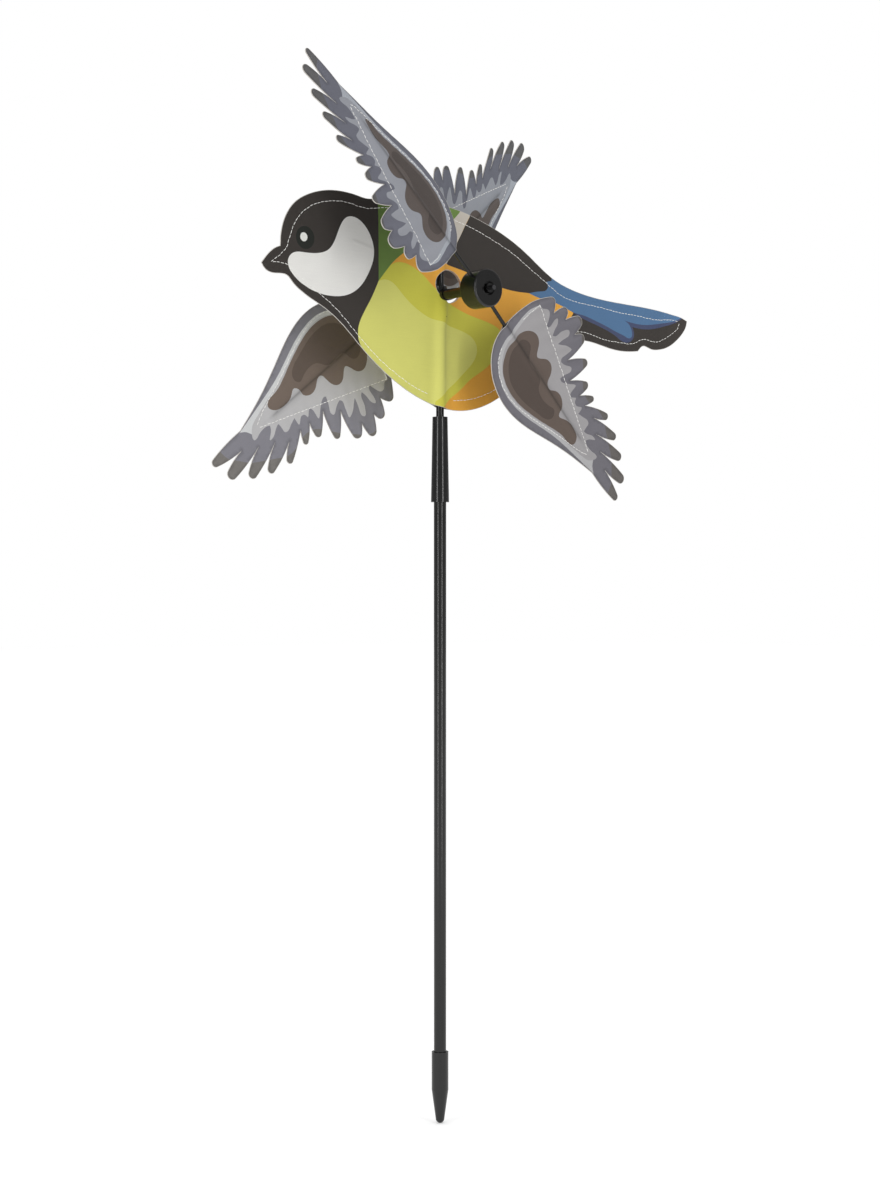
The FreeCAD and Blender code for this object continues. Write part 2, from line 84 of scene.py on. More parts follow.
LOG = logging.getLogger("wind_spinner")
MM = 0.001
CURVE_STEP = 1.4  # millimetres between the samples of a drawn curve
FAR_AWAY = 1e9  # farther than anything measured here
ROW_PITCH = 0.866  # rows of the cloth's lattice, as a share of its step
LATTICE_CLEARANCE = 0.45  # least way from the lattice to a drawn curve, the same share
CLOSE_CLEARANCE = 0.6  # the same for the close points, in millimetres
SAME_POINT = 1e-5
CLOSED_GAP = 0.02  # half the gap left where two layers lie together
CREASE_ANGLE = math.radians(50)
UNDYED = (205, 203, 198)  # the cloth's own white, seen at its cut edge
SHOWN_THROUGH = 0.6  # how much of the print shows on the cloth's inside
BEAD_RADIUS = 0.17
TUBE_SIDES = 6


# ------------------------------------------------------------------ inks and sides
class Ink(Enum):
    """The printing inks, as red, green and blue from 0 to 255."""

    ORANGE = (229, 168, 62)
    OLIVE = (204, 200, 75)
    LIME = (213, 212, 114)
    GREEN = (104, 132, 64)
    CREAM = (190, 183, 172)
    SLATE = (56, 51, 47)
    TAIL_BLACK = (58, 53, 49)
    NAVY = (69, 77, 108)
    SKY = (81, 117, 155)
    CHEEK = (232, 231, 227)
    EYE = (32, 35, 30)
    EYE_GLINT = (226, 228, 222)
    WING_VIOLET = (111, 110, 118)
    WING_STRIPE = (176, 177, 180)
    WING_FIELD = (158, 157, 160)
    WING_BROWN = (98, 86, 79)
    WING_UMBER = (82, 71, 65)
    WING_TIP = (102, 99, 97)


class Side(Enum):
    """Where a rotor turns; the value is that side's direction along y."""

    NEAR = -1
    FAR = 1


class Layer(Enum):
    """The two layers of a sewn part; FRONT faces the near side at rest."""

    FRONT = "front"
    BACK = "back"


def linear(rgb: Sequence[float]) -> tuple[float, float, float, float]:
    """Turn an sRGB colour into the linear one that the shaders use.

    Args:
        rgb: Red, green and blue from 0 to 255.

    Returns:
        Linear red, green and blue from 0 to 1, and an alpha of 1.
    """
    parts = [c / 255.0 for c in rgb]
    parts = [c / 12.92 if c <= 0.04045 else ((c + 0.055) / 1.055) ** 2.4 for c in parts]
    return (parts[0], parts[1], parts[2], 1.0)


# ------------------------------------------------------------------ smooth rises and falls
def hump(value: np.ndarray, width: float | np.ndarray) -> np.ndarray:
    """1 where the value is 0, falling away to both sides over the width."""
    return np.exp(-(value / width) ** 2)


def below(value: np.ndarray, limit: float, width: float) -> np.ndarray:
    """1 below the limit and 0 above it, with a soft change over the width."""
    return 1 / (1 + np.exp((value - limit) / width))


def above(value: np.ndarray, limit: float, width: float) -> np.ndarray:
    """1 above the limit and 0 below it, with a soft change over the width."""
    return 1 / (1 + np.exp((limit - value) / width))


def risen(value: np.ndarray, start: float, width: float) -> np.ndarray:
    """0 up to the start, then rising to 1 over the width."""
    return 1 - np.exp(-np.clip(value - start, 0, None) / width)


@dataclass(frozen=True)
class Band:
    """A soft band: how strong it is, where its middle lies and how wide it is."""

    strength: float
    middle: float
    width: float

    def at(self, value: np.ndarray) -> np.ndarray:
        """The band's strength at some places."""
        return self.strength * hump(value - self.middle, self.width)


@dataclass(frozen=True)
class Pucker:
    """Small puckers by a seam: their height, how far they reach and how long each one is."""

    height: float
    reach: float
    length: float

    def at(self, seam: np.ndarray, along: np.ndarray, phase: float = 0.0) -> np.ndarray:
        """Height at some distances from the seam and places along it."""
        swing = np.sin(along * 2 * math.pi / self.length + phase)
        return self.height * np.exp(-seam / self.reach) * swing


@dataclass(frozen=True)
class Puff:
    """Air between two layers: half its height, kept off the cut edge and pinched by a seam."""

    height: float
    inset: float
    rise: float
    pinch: Band

    def at(self, edge: np.ndarray, seam: np.ndarray) -> np.ndarray:
        """Half the gap at some distances from the cut edge and from the seam."""
        return self.height * risen(edge, self.inset, self.rise) * (1 - self.pinch.at(seam))


# ------------------------------------------------------------------ curves on the flat cloth
def chords(knots: np.ndarray) -> np.ndarray:
    """Distance along the knots, straight from each to the next, starting at 0."""
    return np.concatenate([[0.0], np.cumsum(np.linalg.norm(np.diff(knots, axis=0), axis=1))])


def spline_at(knots: np.ndarray, place: np.ndarray) -> np.ndarray:
    """Points of the natural cubic spline through some knots.

    Args:
        knots: Points that the curve passes through.
        place: Where along the chords to take a point.

    Returns:
        The points.
    """
    chord = chords(knots)
    gap = np.diff(chord)
    size = len(knots)
    matrix = np.zeros((size, size))
    matrix[0, 0] = matrix[-1, -1] = 1.0
    right = np.zeros((size, 2))
    for i in range(1, size - 1):
        matrix[i, i - 1:i + 2] = gap[i - 1], 2 * (gap[i - 1] + gap[i]), gap[i]
        ahead, behind = (knots[i + 1] - knots[i]) / gap[i], (knots[i] - knots[i - 1]) / gap[i - 1]
        right[i] = 6 * (ahead - behind)
    bend = np.linalg.solve(matrix, right)
    span = np.clip(np.searchsorted(chord, place, side="right") - 1, 0, size - 2)
    h, a, b = (part[:, None] for part in (gap[span], chord[span + 1] - place, place - chord[span]))
    return (
        bend[span] * (a ** 3 / (6 * h)) + bend[span + 1] * (b ** 3 / (6 * h))
        + (knots[span] / h - bend[span] * (h / 6)) * a
        + (knots[span + 1] / h - bend[span + 1] * (h / 6)) * b
    )


def smooth_curve(points: Points, step: float = CURVE_STEP) -> np.ndarray:
    """Run a smooth curve through pattern points.

    Args:
        points: Points that the curve passes through; two of them give a straight run.
        step: Distance between the samples.

    Returns:
        Samples along the curve, first and last point included.
    """
    knots = np.array(points, float)
    length = chords(knots)[-1]
    place = np.linspace(0.0, length, max(2, int(math.ceil(length / step)) + 1))
    if len(knots) == 2:
        return knots[0] + (knots[1] - knots[0]) * (place / length)[:, None]
    return spline_at(knots, place)


def closed_curve(points: Points) -> np.ndarray:
    """Run a smooth closed curve through pattern points.

    Args:
        points: Points in order round the shape, the first not repeated.

    Returns:
        Samples once round, the first not repeated.
    """
    ring = list(points)
    knots = np.array(ring[-3:] + ring + ring[:4], float)
    chord = chords(knots)
    start, end = chord[3], chord[3 + len(ring)]
    count = max(8, int((end - start) / CURVE_STEP))
    return spline_at(knots, np.linspace(start, end, count, endpoint=False))


def straight(corners: Points) -> list[Points]:
    """The straight runs from each corner to the next."""
    return list(zip(corners, corners[1:]))


def toothed(start: Point, teeth: Sequence[Points]) -> list[Points]:
    """Give each tooth of a jagged boundary the point where it starts.

    Args:
        start: Where the first tooth starts.
        teeth: The points of each tooth after its start, the last one its sharp peak.

    Returns:
        The runs of the boundary, end to end.
    """
    starts = [start] + [tooth[-1] for tooth in teeth[:-1]]
    return [[first, *tooth] for first, tooth in zip(starts, teeth)]


def circle(centre: Point, radius: float, count: int) -> Points:
    """Points set evenly round a circle."""
    turns = [a / (count / 2) * math.pi for a in range(count)]
    return [(centre[0] + radius * math.cos(t), centre[1] + radius * math.sin(t)) for t in turns]


def join(curves: Sequence[np.ndarray]) -> np.ndarray:
    """Join curves end to end into one ring, each shared end kept once."""
    return np.concatenate([curve[:-1] for curve in curves])


def closed(ring: np.ndarray) -> np.ndarray:
    """The ring as a path that comes back to its first point."""
    return np.concatenate([ring, ring[:1]])


def inside(points: np.ndarray, ring: np.ndarray) -> np.ndarray:
    """Tell which points lie in a closed ring.

    Args:
        points: Points to test.
        ring: Corners of the ring in order.

    Returns:
        One truth value for each point.
    """
    x, y = points[:, 0], points[:, 1]
    result = np.zeros(len(points), bool)
    for (x0, y0), (x1, y1) in zip(ring, np.roll(ring, -1, axis=0)):
        if y0 != y1:
            result ^= ((y0 > y) != (y1 > y)) & (x < (x1 - x0) * (y - y0) / (y1 - y0) + x0)
    return result


def nearest(points: np.ndarray, path: np.ndarray) -> tuple[np.ndarray, np.ndarray]:
    """Measure each point against a path.

    Args:
        points: Points to measure.
        path: Corners of the path in order.

    Returns:
        The distance to the path, and how far along it the nearest place is.
    """
    best = np.full(len(points), FAR_AWAY)
    along = np.zeros(len(points))
    passed = 0.0
    for start, end in zip(path[:-1], path[1:]):
        run = end - start
        length = float(np.linalg.norm(run))
        if length == 0.0:
            continue
        share = np.clip((points - start) @ run / length ** 2, 0.0, 1.0)
        away = np.linalg.norm(points - start - share[:, None] * run, axis=1)
        closer = away < best
        best[closer] = away[closer]
        along[closer] = passed + share[closer] * length
        passed += length
    return best, along


def nearest_point(points: np.ndarray, others: np.ndarray, batch: int = 400) -> np.ndarray:
    """Measure each point against some others.

    Args:
        points: Points to measure.
        others: The points measured to.
        batch: How many of the others are taken at a time.

    Returns:
        The distance from each point to the nearest of the others.
    """
    best = np.full(len(points), FAR_AWAY)
    for start in range(0, len(others), batch):
        away = np.linalg.norm(points[:, None, :] - others[None, start:start + batch, :], axis=2)
        np.minimum(best, away.min(1), out=best)
    return best


def ring_area(ring: np.ndarray) -> float:
    """Area inside a closed ring, whichever way it runs."""
    x, y = ring[:, 0], ring[:, 1]
    return abs(float(np.dot(x, np.roll(y, -1)) - np.dot(y, np.roll(x, -1)))) / 2


@dataclass(frozen=True)
class PrintArea:
    """One printed colour field: an ink inside a ring of smooth and straight runs."""

    ink: Ink
    runs: Sequence[Points]

    def ring(self) -> np.ndarray:
        """The field's boundary; a single run is a closed smooth curve.

        Returns:
            Samples once round, the first not repeated.
        """
        if len(self.runs) == 1:
            return closed_curve(self.runs[0])
        return join([smooth_curve(run) for run in self.runs])


# ------------------------------------------------------------------ cut, printed and sewn cloth
@dataclass
class CutCloth:
    """Flat cloth, cut to its outline and divided along every printed boundary."""

    outline: np.ndarray
    holes: list[np.ndarray]
    areas: Sequence[PrintArea]
    base: Ink
    mesh_step: float
    close_points: np.ndarray
    points: np.ndarray = field(init=False)
    triangles: np.ndarray = field(init=False)
    inks: list[Ink] = field(init=False)
    rims: Faces = field(init=False)

    def __post_init__(self) -> None:
        """Divide the cloth, ink it and trace its cut edges."""
        fields = [(area.ink, area.ring()) for area in self.areas]
        self._divide([self.outline, *self.holes, *(ring for _, ring in fields)])
        self._print(fields)
        self._trace_rims()

    def _lattice(self, fixed: np.ndarray) -> np.ndarray:
        """Evenly spaced points inside the outline, clear of the drawn curves.

        Args:
            fixed: Points of the drawn curves.

        Returns:
            The points kept.
        """
        step = self.mesh_step
        low, high = self.outline.min(0), self.outline.max(0)
        rows = np.arange(low[1], high[1], step * ROW_PITCH)
        grid = np.array([
            (x + (0.5 * step if i % 2 else 0.0), y)
            for i, y in enumerate(rows) for x in np.arange(low[0], high[0], step)
        ])
        grid = grid[inside(grid, self.outline)]
        return grid[nearest_point(grid, fixed) > step * LATTICE_CLEARANCE]

    def _divide(self, rings: list[np.ndarray]) -> None:
        """Divide the cloth into triangles along every ring.

        Args:
            rings: The outline, the holes and the printed boundaries.
        """
        edges: list[tuple[int, int]] = []
        count = 0
        for ring in rings:
            edges += [(count + i, count + (i + 1) % len(ring)) for i in range(len(ring))]
            count += len(ring)
        close = self.close_points[inside(self.close_points, self.outline)]
        drawn = np.concatenate(rings)
        fixed = np.concatenate([drawn, close[nearest_point(close, drawn) > CLOSE_CLEARANCE]])
        everything = np.concatenate([fixed, self._lattice(fixed)])
        found = delaunay_2d_cdt([Vector(p) for p in everything.tolist()], edges, [], 0, SAME_POINT)
        points = np.array([tuple(v) for v in found[0]])
        triangles = np.array([f for f in found[2] if len(f) == 3])
        centres = points[triangles].mean(1)
        keep = inside(centres, self.outline)
        for hole in self.holes:
            keep &= ~inside(centres, hole)
        triangles = triangles[keep]
        a, b, c = (points[triangles[:, i]] for i in range(3))
        turn = (b - a)[:, 0] * (c - a)[:, 1] - (b - a)[:, 1] * (c - a)[:, 0]
        triangles[turn < 0] = triangles[turn < 0][:, ::-1]
        used = np.unique(triangles)
        renumber = np.full(len(points), -1)
        renumber[used] = np.arange(len(used))
        self.points, self.triangles = points[used], renumber[triangles]

    def _print(self, fields: list[tuple[Ink, np.ndarray]]) -> None:
        """Give each triangle the ink of the last field that covers it.

        Args:
            fields: The inks and boundaries of the printed fields, in printing order.
        """
        centres = self.points[self.triangles].mean(1)
        numbers = np.zeros(len(centres), int)
        for number, (_, ring) in enumerate(fields, start=1):
            numbers[inside(centres, ring)] = number
        inks = [self.base] + [ink for ink, _ in fields]
        self.inks = [inks[number] for number in numbers]

    def _trace_rims(self) -> None:
        """Trace the cut edges into closed loops of point numbers."""
        seen: set[tuple[int, int]] = set()
        for a, b, c in self.triangles.tolist():
            seen.update(((a, b), (b, c), (c, a)))
        onward = {a: b for a, b in seen if (b, a) not in seen}
        self.rims = []
        while onward:
            start = next(iter(onward))
            loop = [start]
            here = onward.pop(start)
            while here != start and here in onward:
                loop.append(here)
                here = onward.pop(here)
            self.rims.append(loop)

    def area(self) -> float:
        """Flat area of the cut cloth in square metres."""
        return (ring_area(self.outline) - sum(ring_area(hole) for hole in self.holes)) * MM * MM


def as_cut(points: np.ndarray) -> np.ndarray:
    """The cloth lies in its plane just as it is cut."""
    return points


@dataclass
class Drape:
    """How two layers stand off their flat pattern: a middle surface and half the gap between."""

    middle: Shape
    half_gap: Shape
    laid: Shape = as_cut
    thickness: float = 0.24

    def outer(self, points: np.ndarray, facing: int) -> np.ndarray:
        """Height of a layer's outer face; facing is 1 or -1 along the local z."""
        return self.middle(points) + facing * (self.half_gap(points) + self.thickness)

    def inner(self, points: np.ndarray, facing: int) -> np.ndarray:
        """Height of a layer's inner face; facing is 1 or -1 along the local z."""
        return self.middle(points) + facing * self.half_gap(points)


def new_piece(name: str, verts: np.ndarray, faces: Faces, frame: Matrix) -> bpy.types.Object:
    """Make a mesh piece and stand it in the shared frame.

    Args:
        name: The piece's name.
        verts: Corners in millimetres in the piece's own frame.
        faces: Corner numbers of each face.
        frame: The piece's own frame in the shared frame.

    Returns:
        The new object, shaded smooth.
    """
    mesh = bpy.data.meshes.new(name)
    mesh.from_pydata((verts * MM).tolist(), [], faces)
    mesh.polygons.foreach_set("use_smooth", [True] * len(mesh.polygons))
    mesh.transform(frame)
    mesh.update()
    piece = bpy.data.objects.new(name, mesh)
    bpy.context.scene.collection.objects.link(piece)
    return piece


def sweep(path: np.ndarray, radii: np.ndarray, joined: bool) -> Tube:
    """Sweep a round section along a path that lies nearly flat.

    Args:
        path: Points of the path, in three dimensions.
        radii: The section's radius at each point.
        joined: Whether the path joins its start.

    Returns:
        The corners and faces of the tube.
    """
    if joined:
        tangent = np.roll(path, -1, axis=0) - np.roll(path, 1, axis=0)
    else:
        tangent = np.gradient(path, axis=0)
    tangent /= np.linalg.norm(tangent, axis=1)[:, None] + 1e-12
    side = np.cross(tangent, np.array([0.0, 0.0, 1.0]))
    side /= np.linalg.norm(side, axis=1)[:, None] + 1e-12
    up = np.cross(side, tangent)
    turns = np.linspace(0, 2 * math.pi, TUBE_SIDES, endpoint=False)
    rings = [path + radii[:, None] * (side * math.cos(t) + up * math.sin(t)) for t in turns]
    faces: Faces = []
    count = len(path)
    for i in range(count if joined else count - 1):
        a, b = i * TUBE_SIDES, ((i + 1) % count) * TUBE_SIDES
        for k in range(TUBE_SIDES):
            after = (k + 1) % TUBE_SIDES
            faces.append([a + k, a + after, b + after, b + k])
    if not joined:
        faces.append(list(range(TUBE_SIDES))[::-1])
        faces.append([(count - 1) * TUBE_SIDES + k for k in range(TUBE_SIDES)])
    return np.stack(rings, axis=1).reshape(-1, 3), faces


def merge(parts: Sequence[Tube]) -> Tube:
    """Gather several sets of corners and faces into one.

    Args:
        parts: The corners and faces of each set.

    Returns:
        All corners, and all faces with their numbers moved on.
    """
    verts, faces, count = [], [], 0
    for part, its_faces in parts:
        verts.append(part)
        faces += [[i + count for i in face] for face in its_faces]
        count += len(part)
    return np.concatenate(verts), faces


@dataclass(frozen=True)
class Sewing:
    """A run of lockstitch; each stitch dips into the cloth at both ends and sways a little."""

    stitch: float = 2.6
    gap: float = 0.45
    thread: float = 0.175
    first: float = 0.4
    sway: float = 0.1
    sway_turn: float = 2.4
    lift: tuple[float, ...] = (-0.16, 0.08, 0.15, 0.15, 0.08, -0.16)
    swell: tuple[float, ...] = (0.7, 1.0, 1.0, 1.0, 1.0, 0.7)

    def thread_on(self, path: np.ndarray, drape: Drape, facing: int) -> Tube:
        """Lay the stitches of one seam on one face of the cloth.

        Args:
            path: The seam on the flat pattern.
            drape: How the cloth stands off its pattern.
            facing: Which face the thread lies on.

        Returns:
            Corners and faces of all the stitches.
        """
        lengths = chords(path)
        samples = len(self.lift)
        runs = []
        starts = np.arange(self.first, lengths[-1] - self.stitch, self.stitch + self.gap)
        for index, start in enumerate(starts):
            place = start + np.linspace(0, 1, samples) * self.stitch
            flat = np.column_stack([np.interp(place, lengths, path[:, k]) for k in (0, 1)])
            run = flat[-1] - flat[0]
            across = np.array([-run[1], run[0]]) / (np.linalg.norm(run) + 1e-9)
            runs.append(flat + across * self.sway * math.sin(index * self.sway_turn))
        surface = drape.outer(np.concatenate(runs), facing).reshape(len(runs), samples)
        lift = facing * np.array(self.lift)
        radii = self.thread * np.array(self.swell)
        return merge([
            sweep(np.column_stack([drape.laid(flat), height + lift]), radii, False)
            for flat, height in zip(runs, surface)
        ])


@dataclass(frozen=True)
class PartPlace:
    """Where a sewn part belongs: its body, what it stands for and how it is held."""

    body: str
    slot: str
    stands_for: str
    flat_size: Pair
    rests_on: list[str]


@dataclass
class SewnPart:
    """Two printed layers, cut as one and sewn together, with their cut edges and thread."""

    name: str
    cloth: CutCloth
    drape: Drape
    seams: list[np.ndarray]
    frame: Matrix
    # painted shade and highlight by rods and creases, with the print's own paler and striped tones
    tint: Shape
    facing: dict[Layer, int]
    place: PartPlace
    edge_tone: float = 1.0
    # painted light and shade over the whole part: a share of its red, green and blue
    painted_lighting: Triple = (1.0, 1.0, 1.0)

    def _layer(self, layer: Layer) -> bpy.types.Object:
        """Make one layer as a thin cloth with an inside, an outside and a cut edge.

        Args:
            layer: Which of the two.

        Returns:
            The layer, with its ink in the colour attribute and its pattern place in the UV map.
        """
        flat, count, facing = self.cloth.points, len(self.cloth.points), self.facing[layer]
        laid = self.drape.laid(flat)
        outer = np.column_stack([laid, self.drape.outer(flat, facing)])
        inner = np.column_stack([laid, self.drape.inner(flat, facing)])
        faces = [t if facing > 0 else t[::-1] for t in self.cloth.triangles.tolist()]
        under = [[i + count for i in face[::-1]] for face in faces]
        rim = []
        for loop in self.cloth.rims:
            for a, b in zip(loop, loop[1:] + loop[:1]):
                rim.append([a, a + count, b + count, b][::1 if facing > 0 else -1])
        name = "%s_cloth_%s" % (self.name, layer.value)
        piece = new_piece(name, np.concatenate([outer, inner]), faces + under + rim, self.frame)
        piece.data.set_sharp_from_angle(angle=CREASE_ANGLE)
        self._ink(piece.data, len(rim))
        return piece

    def _ink(self, mesh: bpy.types.Mesh, rim_faces: int) -> None:
        """Print a layer's faces, painted light and shade included, and lay its pattern in the UV
        map.

        Args:
            mesh: The layer's mesh: outside, inside and cut edge in that order.
            rim_faces: How many faces the cut edge has.
        """
        flat = self.cloth.points
        # tone: painted shade and highlight by rods and creases, with the print's own tones
        tone = self.tint(flat)
        for loop in self.cloth.rims:
            tone[loop] *= self.edge_tone
        tone = np.concatenate([tone, tone])
        pale = np.array(linear(UNDYED))
        printed = [np.array(linear(ink.value)) for ink in self.cloth.inks]
        through = [shade * SHOWN_THROUGH + pale * (1 - SHOWN_THROUGH) for shade in printed]
        corner = np.zeros(len(mesh.loops), int)
        mesh.loops.foreach_get("vertex_index", corner)
        sizes = [len(face.vertices) for face in mesh.polygons]
        ink = np.repeat(np.array(printed + through + [pale] * rim_faces), sizes, axis=0)
        # the part's painted light and shade goes onto every face here
        ink[:, :3] *= tone[corner][:, None] * np.array(self.painted_lighting)
        attribute = mesh.color_attributes.new("ink", "FLOAT_COLOR", "CORNER")
        attribute.data.foreach_set("color", ink.astype(np.float32).ravel())
        uv = mesh.uv_layers.new(name="cloth")
        uv.data.foreach_set("uv", flat[corner % len(flat)].astype(np.float32).ravel())

    def _sewing(self, layer: Layer) -> bpy.types.Object:
        """The thread of every seam on one layer's outer face."""
        thread = [Sewing().thread_on(seam, self.drape, self.facing[layer]) for seam in self.seams]
        return new_piece("%s_sewing_%s" % (self.name, layer.value), *merge(thread), self.frame)

    def _cut_edges(self) -> bpy.types.Object:
        """Make the heat-sealed edge of both layers: a fine pale bead along every cut.

        Returns:
            The beads as one piece.
        """
        beads = []
        for facing in (1, -1):
            for loop in self.cloth.rims:
                flat = self.cloth.points[loop]
                height = (self.drape.outer(flat, facing) + self.drape.inner(flat, facing)) / 2
                path = np.column_stack([self.drape.laid(flat), height])
                beads.append(sweep(path, np.full(len(path), BEAD_RADIUS), True))
        return new_piece(self.name + "_cut_edges", *merge(beads), self.frame)

    def build(self, materials: Materials) -> list[bpy.types.Object]:
        """Make and dress the layers, the thread and the cut edges.

        Args:
            materials: The materials by name.

        Returns:
            The pieces made.
        """
        layers, seams, place = [], [], self.place
        for layer in Layer:
            layers.append(self._layer(layer))
            seams.append(self._sewing(layer))
        edge = self._cut_edges()
        dressed = [(piece, place.slot) for piece in layers]
        dressed += [(piece, "thread") for piece in seams] + [(edge, "sealed_edge")]
        for piece, material in dressed:
            piece.data.materials.append(materials[material])
            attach(piece, place.body)
        for layer, piece, seam in zip(Layer, layers, seams):
            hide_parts(place.stands_for + layer.value)
            self.cloth.area()
        return [piece for piece, _ in dressed]


# ------------------------------------------------------------------ finishes
class NodeTree:
    """Short calls for building the node tree of a material or a world."""

    def __init__(self, owner: bpy.types.Material | bpy.types.World) -> None:
        """Start with an empty tree.

        Args:
            owner: The material or world that the tree belongs to.
        """
        self.owner = owner
        owner.use_nodes = True
        self.tree = owner.node_tree
        self.tree.nodes.clear()

    def _feed(self, target: bpy.types.NodeSocket, value: Any) -> None:
        """Fill an input.

        Args:
            target: The input.
            value: A socket to link to it, or a plain value to set.
        """
        if isinstance(value, bpy.types.NodeSocket):
            self.tree.links.new(value, target)
        else:
            target.default_value = value

    def add(self, kind: str, *ordered: Any, **values: Any) -> bpy.types.Node:
        """Add a node and fill its inputs or its own settings.

        Args:
            kind: The node's type.
            *ordered: Sockets or values for the first inputs, in their order.
            **values: Sockets or values by input or setting name, spaces written as underscores.

        Returns:
            The new node.
        """
        node = self.tree.nodes.new(kind)
        for name, value in values.items():
            label = name.replace("_", " ")
            if label in node.inputs:
                self._feed(node.inputs[label], value)
            else:
                setattr(node, name, value)
        for target, value in zip(node.inputs, ordered):
            self._feed(target, value)
        return node

    def mapped(self, value: bpy.types.NodeSocket, low: float, high: float) -> bpy.types.NodeSocket:
        """Spread a 0 to 1 value over another range."""
        return self.add("ShaderNodeMapRange", value, To_Min=low, To_Max=high).outputs["Result"]

    def tinted(
        self, colour: bpy.types.NodeSocket, factor: bpy.types.NodeSocket,
    ) -> bpy.types.NodeSocket:
        """Multiply a colour by a value."""
        return self.add("ShaderNodeVectorMath", colour, operation="SCALE", Scale=factor).outputs[0]

    def noise(
        self, place: bpy.types.NodeSocket, scale: float, detail: float = 2.0,
    ) -> bpy.types.NodeSocket:
        """Noise from 0 to 1 at a scale."""
        node = self.add("ShaderNodeTexNoise", Vector=place, Scale=scale, Detail=detail)
        return node.outputs["Fac"]

    def finished(self, shader: bpy.types.Node) -> bpy.types.Material:
        """Send the shader to the surface, and give the material back."""
        self.add("ShaderNodeOutputMaterial", Surface=shader.outputs[0])
        return self.owner


@dataclass(frozen=True)
class PrintedPolyester:
    """Plain-woven polyester with ink on it; sizes in millimetres on the flat cloth.

    Each spread is a share of the ink's brightness, lightest and darkest alike.
    """

    name: str
    light_through: float
    weave_scale: float = 0.314 / 0.42
    weave_tone: Pair = (0.94, 1.05)
    slub_stretch: Triple = (0.05, 1.7, 1.0)
    slub_spread: float = 0.035
    fade_scale: float = 0.03
    fade_spread: float = 0.07
    grain_scale: float = 1.6
    grain_spread: float = 0.05
    relief: float = 0.00012
    roughness: float = 0.62
    roughness_spread: float = 0.08

    def make(self) -> bpy.types.Material:
        """Build the material from the ink attribute and the flat cloth coordinates.

        Returns:
            The material.
        """
        tree = NodeTree(bpy.data.materials.new(self.name))
        # the ink attribute holds the print together with its painted light and shade
        colour = tree.add("ShaderNodeAttribute", attribute_name="ink").outputs["Color"]
        place = tree.add("ShaderNodeUVMap", uv_map="cloth").outputs["UV"]
        threads = [
            tree.add(
                "ShaderNodeTexWave", bands_direction=axis, Vector=place, Scale=self.weave_scale,
                Distortion=0.6, Detail=1.0, Detail_Scale=2.0,
            ).outputs["Fac"] for axis in ("X", "Y")
        ]
        weave = tree.add("ShaderNodeMath", *threads, operation="MULTIPLY").outputs[0]
        slubs = tree.add("ShaderNodeMapping", Vector=place, Scale=self.slub_stretch)
        slub = tree.noise(slubs.outputs["Vector"], 1.0, 3.0)
        fade = tree.noise(place, self.fade_scale, 4.0)
        grain = tree.noise(place, self.grain_scale)
        colour = tree.tinted(colour, tree.mapped(weave, *self.weave_tone))
        for cloud, spread in (
            (slub, self.slub_spread), (fade, self.fade_spread), (grain, self.grain_spread),
        ):
            colour = tree.tinted(colour, tree.mapped(cloud, 1 - spread, 1 + spread))
        height = tree.add("ShaderNodeMath", slub, 0.6, weave, operation="MULTIPLY_ADD").outputs[0]
        bump = tree.add("ShaderNodeBump", Strength=0.35, Distance=self.relief, Height=height)
        rough, spread = self.roughness, self.roughness_spread
        shader = tree.add(
            "ShaderNodeBsdfPrincipled", Base_Color=colour, Normal=bump.outputs["Normal"],
            Roughness=tree.mapped(grain, rough - spread, rough + spread),
            Specular_IOR_Level=0.3, Sheen_Weight=0.06, Sheen_Roughness=0.5,
        )
        through = tree.add("ShaderNodeBsdfTranslucent", Color=colour)
        return tree.finished(tree.add(
            "ShaderNodeMixShader", self.light_through, shader.outputs[0], through.outputs[0],
        ))


@dataclass(frozen=True)
class Finish:
    """A solid finish: base colour with mottling, grain that scatters its gloss, and fine relief."""

    name: str
    colour: tuple[int, int, int]
    roughness: float
    metallic: float = 0.0
    mottle: float = 0.12
    mottle_scale: float = 90.0
    grain_scale: float = 900.0
    stretch: Triple = (1.0, 1.0, 1.0)
    relief: float = 0.00005
    specular: float = 0.5
    gloss_spread: Pair = (-0.06, 0.08)

    def make(self) -> bpy.types.Material:
        """Build the material on the object's own coordinates.

        Returns:
            The material.
        """
        tree = NodeTree(bpy.data.materials.new(self.name))
        place = tree.add("ShaderNodeTexCoord").outputs["Object"]
        spread = tree.add("ShaderNodeMapping", Vector=place, Scale=self.stretch)
        cloud = tree.noise(place, self.mottle_scale, 4.0)
        grain = tree.noise(spread.outputs["Vector"], self.grain_scale, 3.0)
        colour = tree.add("ShaderNodeRGB").outputs[0]
        colour.default_value = linear(self.colour)
        for noise, mottle in ((cloud, self.mottle), (grain, self.mottle / 2)):
            colour = tree.tinted(colour, tree.mapped(noise, 1 - mottle, 1 + mottle))
        bump = tree.add("ShaderNodeBump", Strength=0.5, Distance=self.relief, Height=grain)
        return tree.finished(tree.add(
            "ShaderNodeBsdfPrincipled", Base_Color=colour, Normal=bump.outputs["Normal"],
            Roughness=tree.mapped(cloud, *(self.roughness + more for more in self.gloss_spread)),
            Metallic=self.metallic, Specular_IOR_Level=self.specular,
        ))


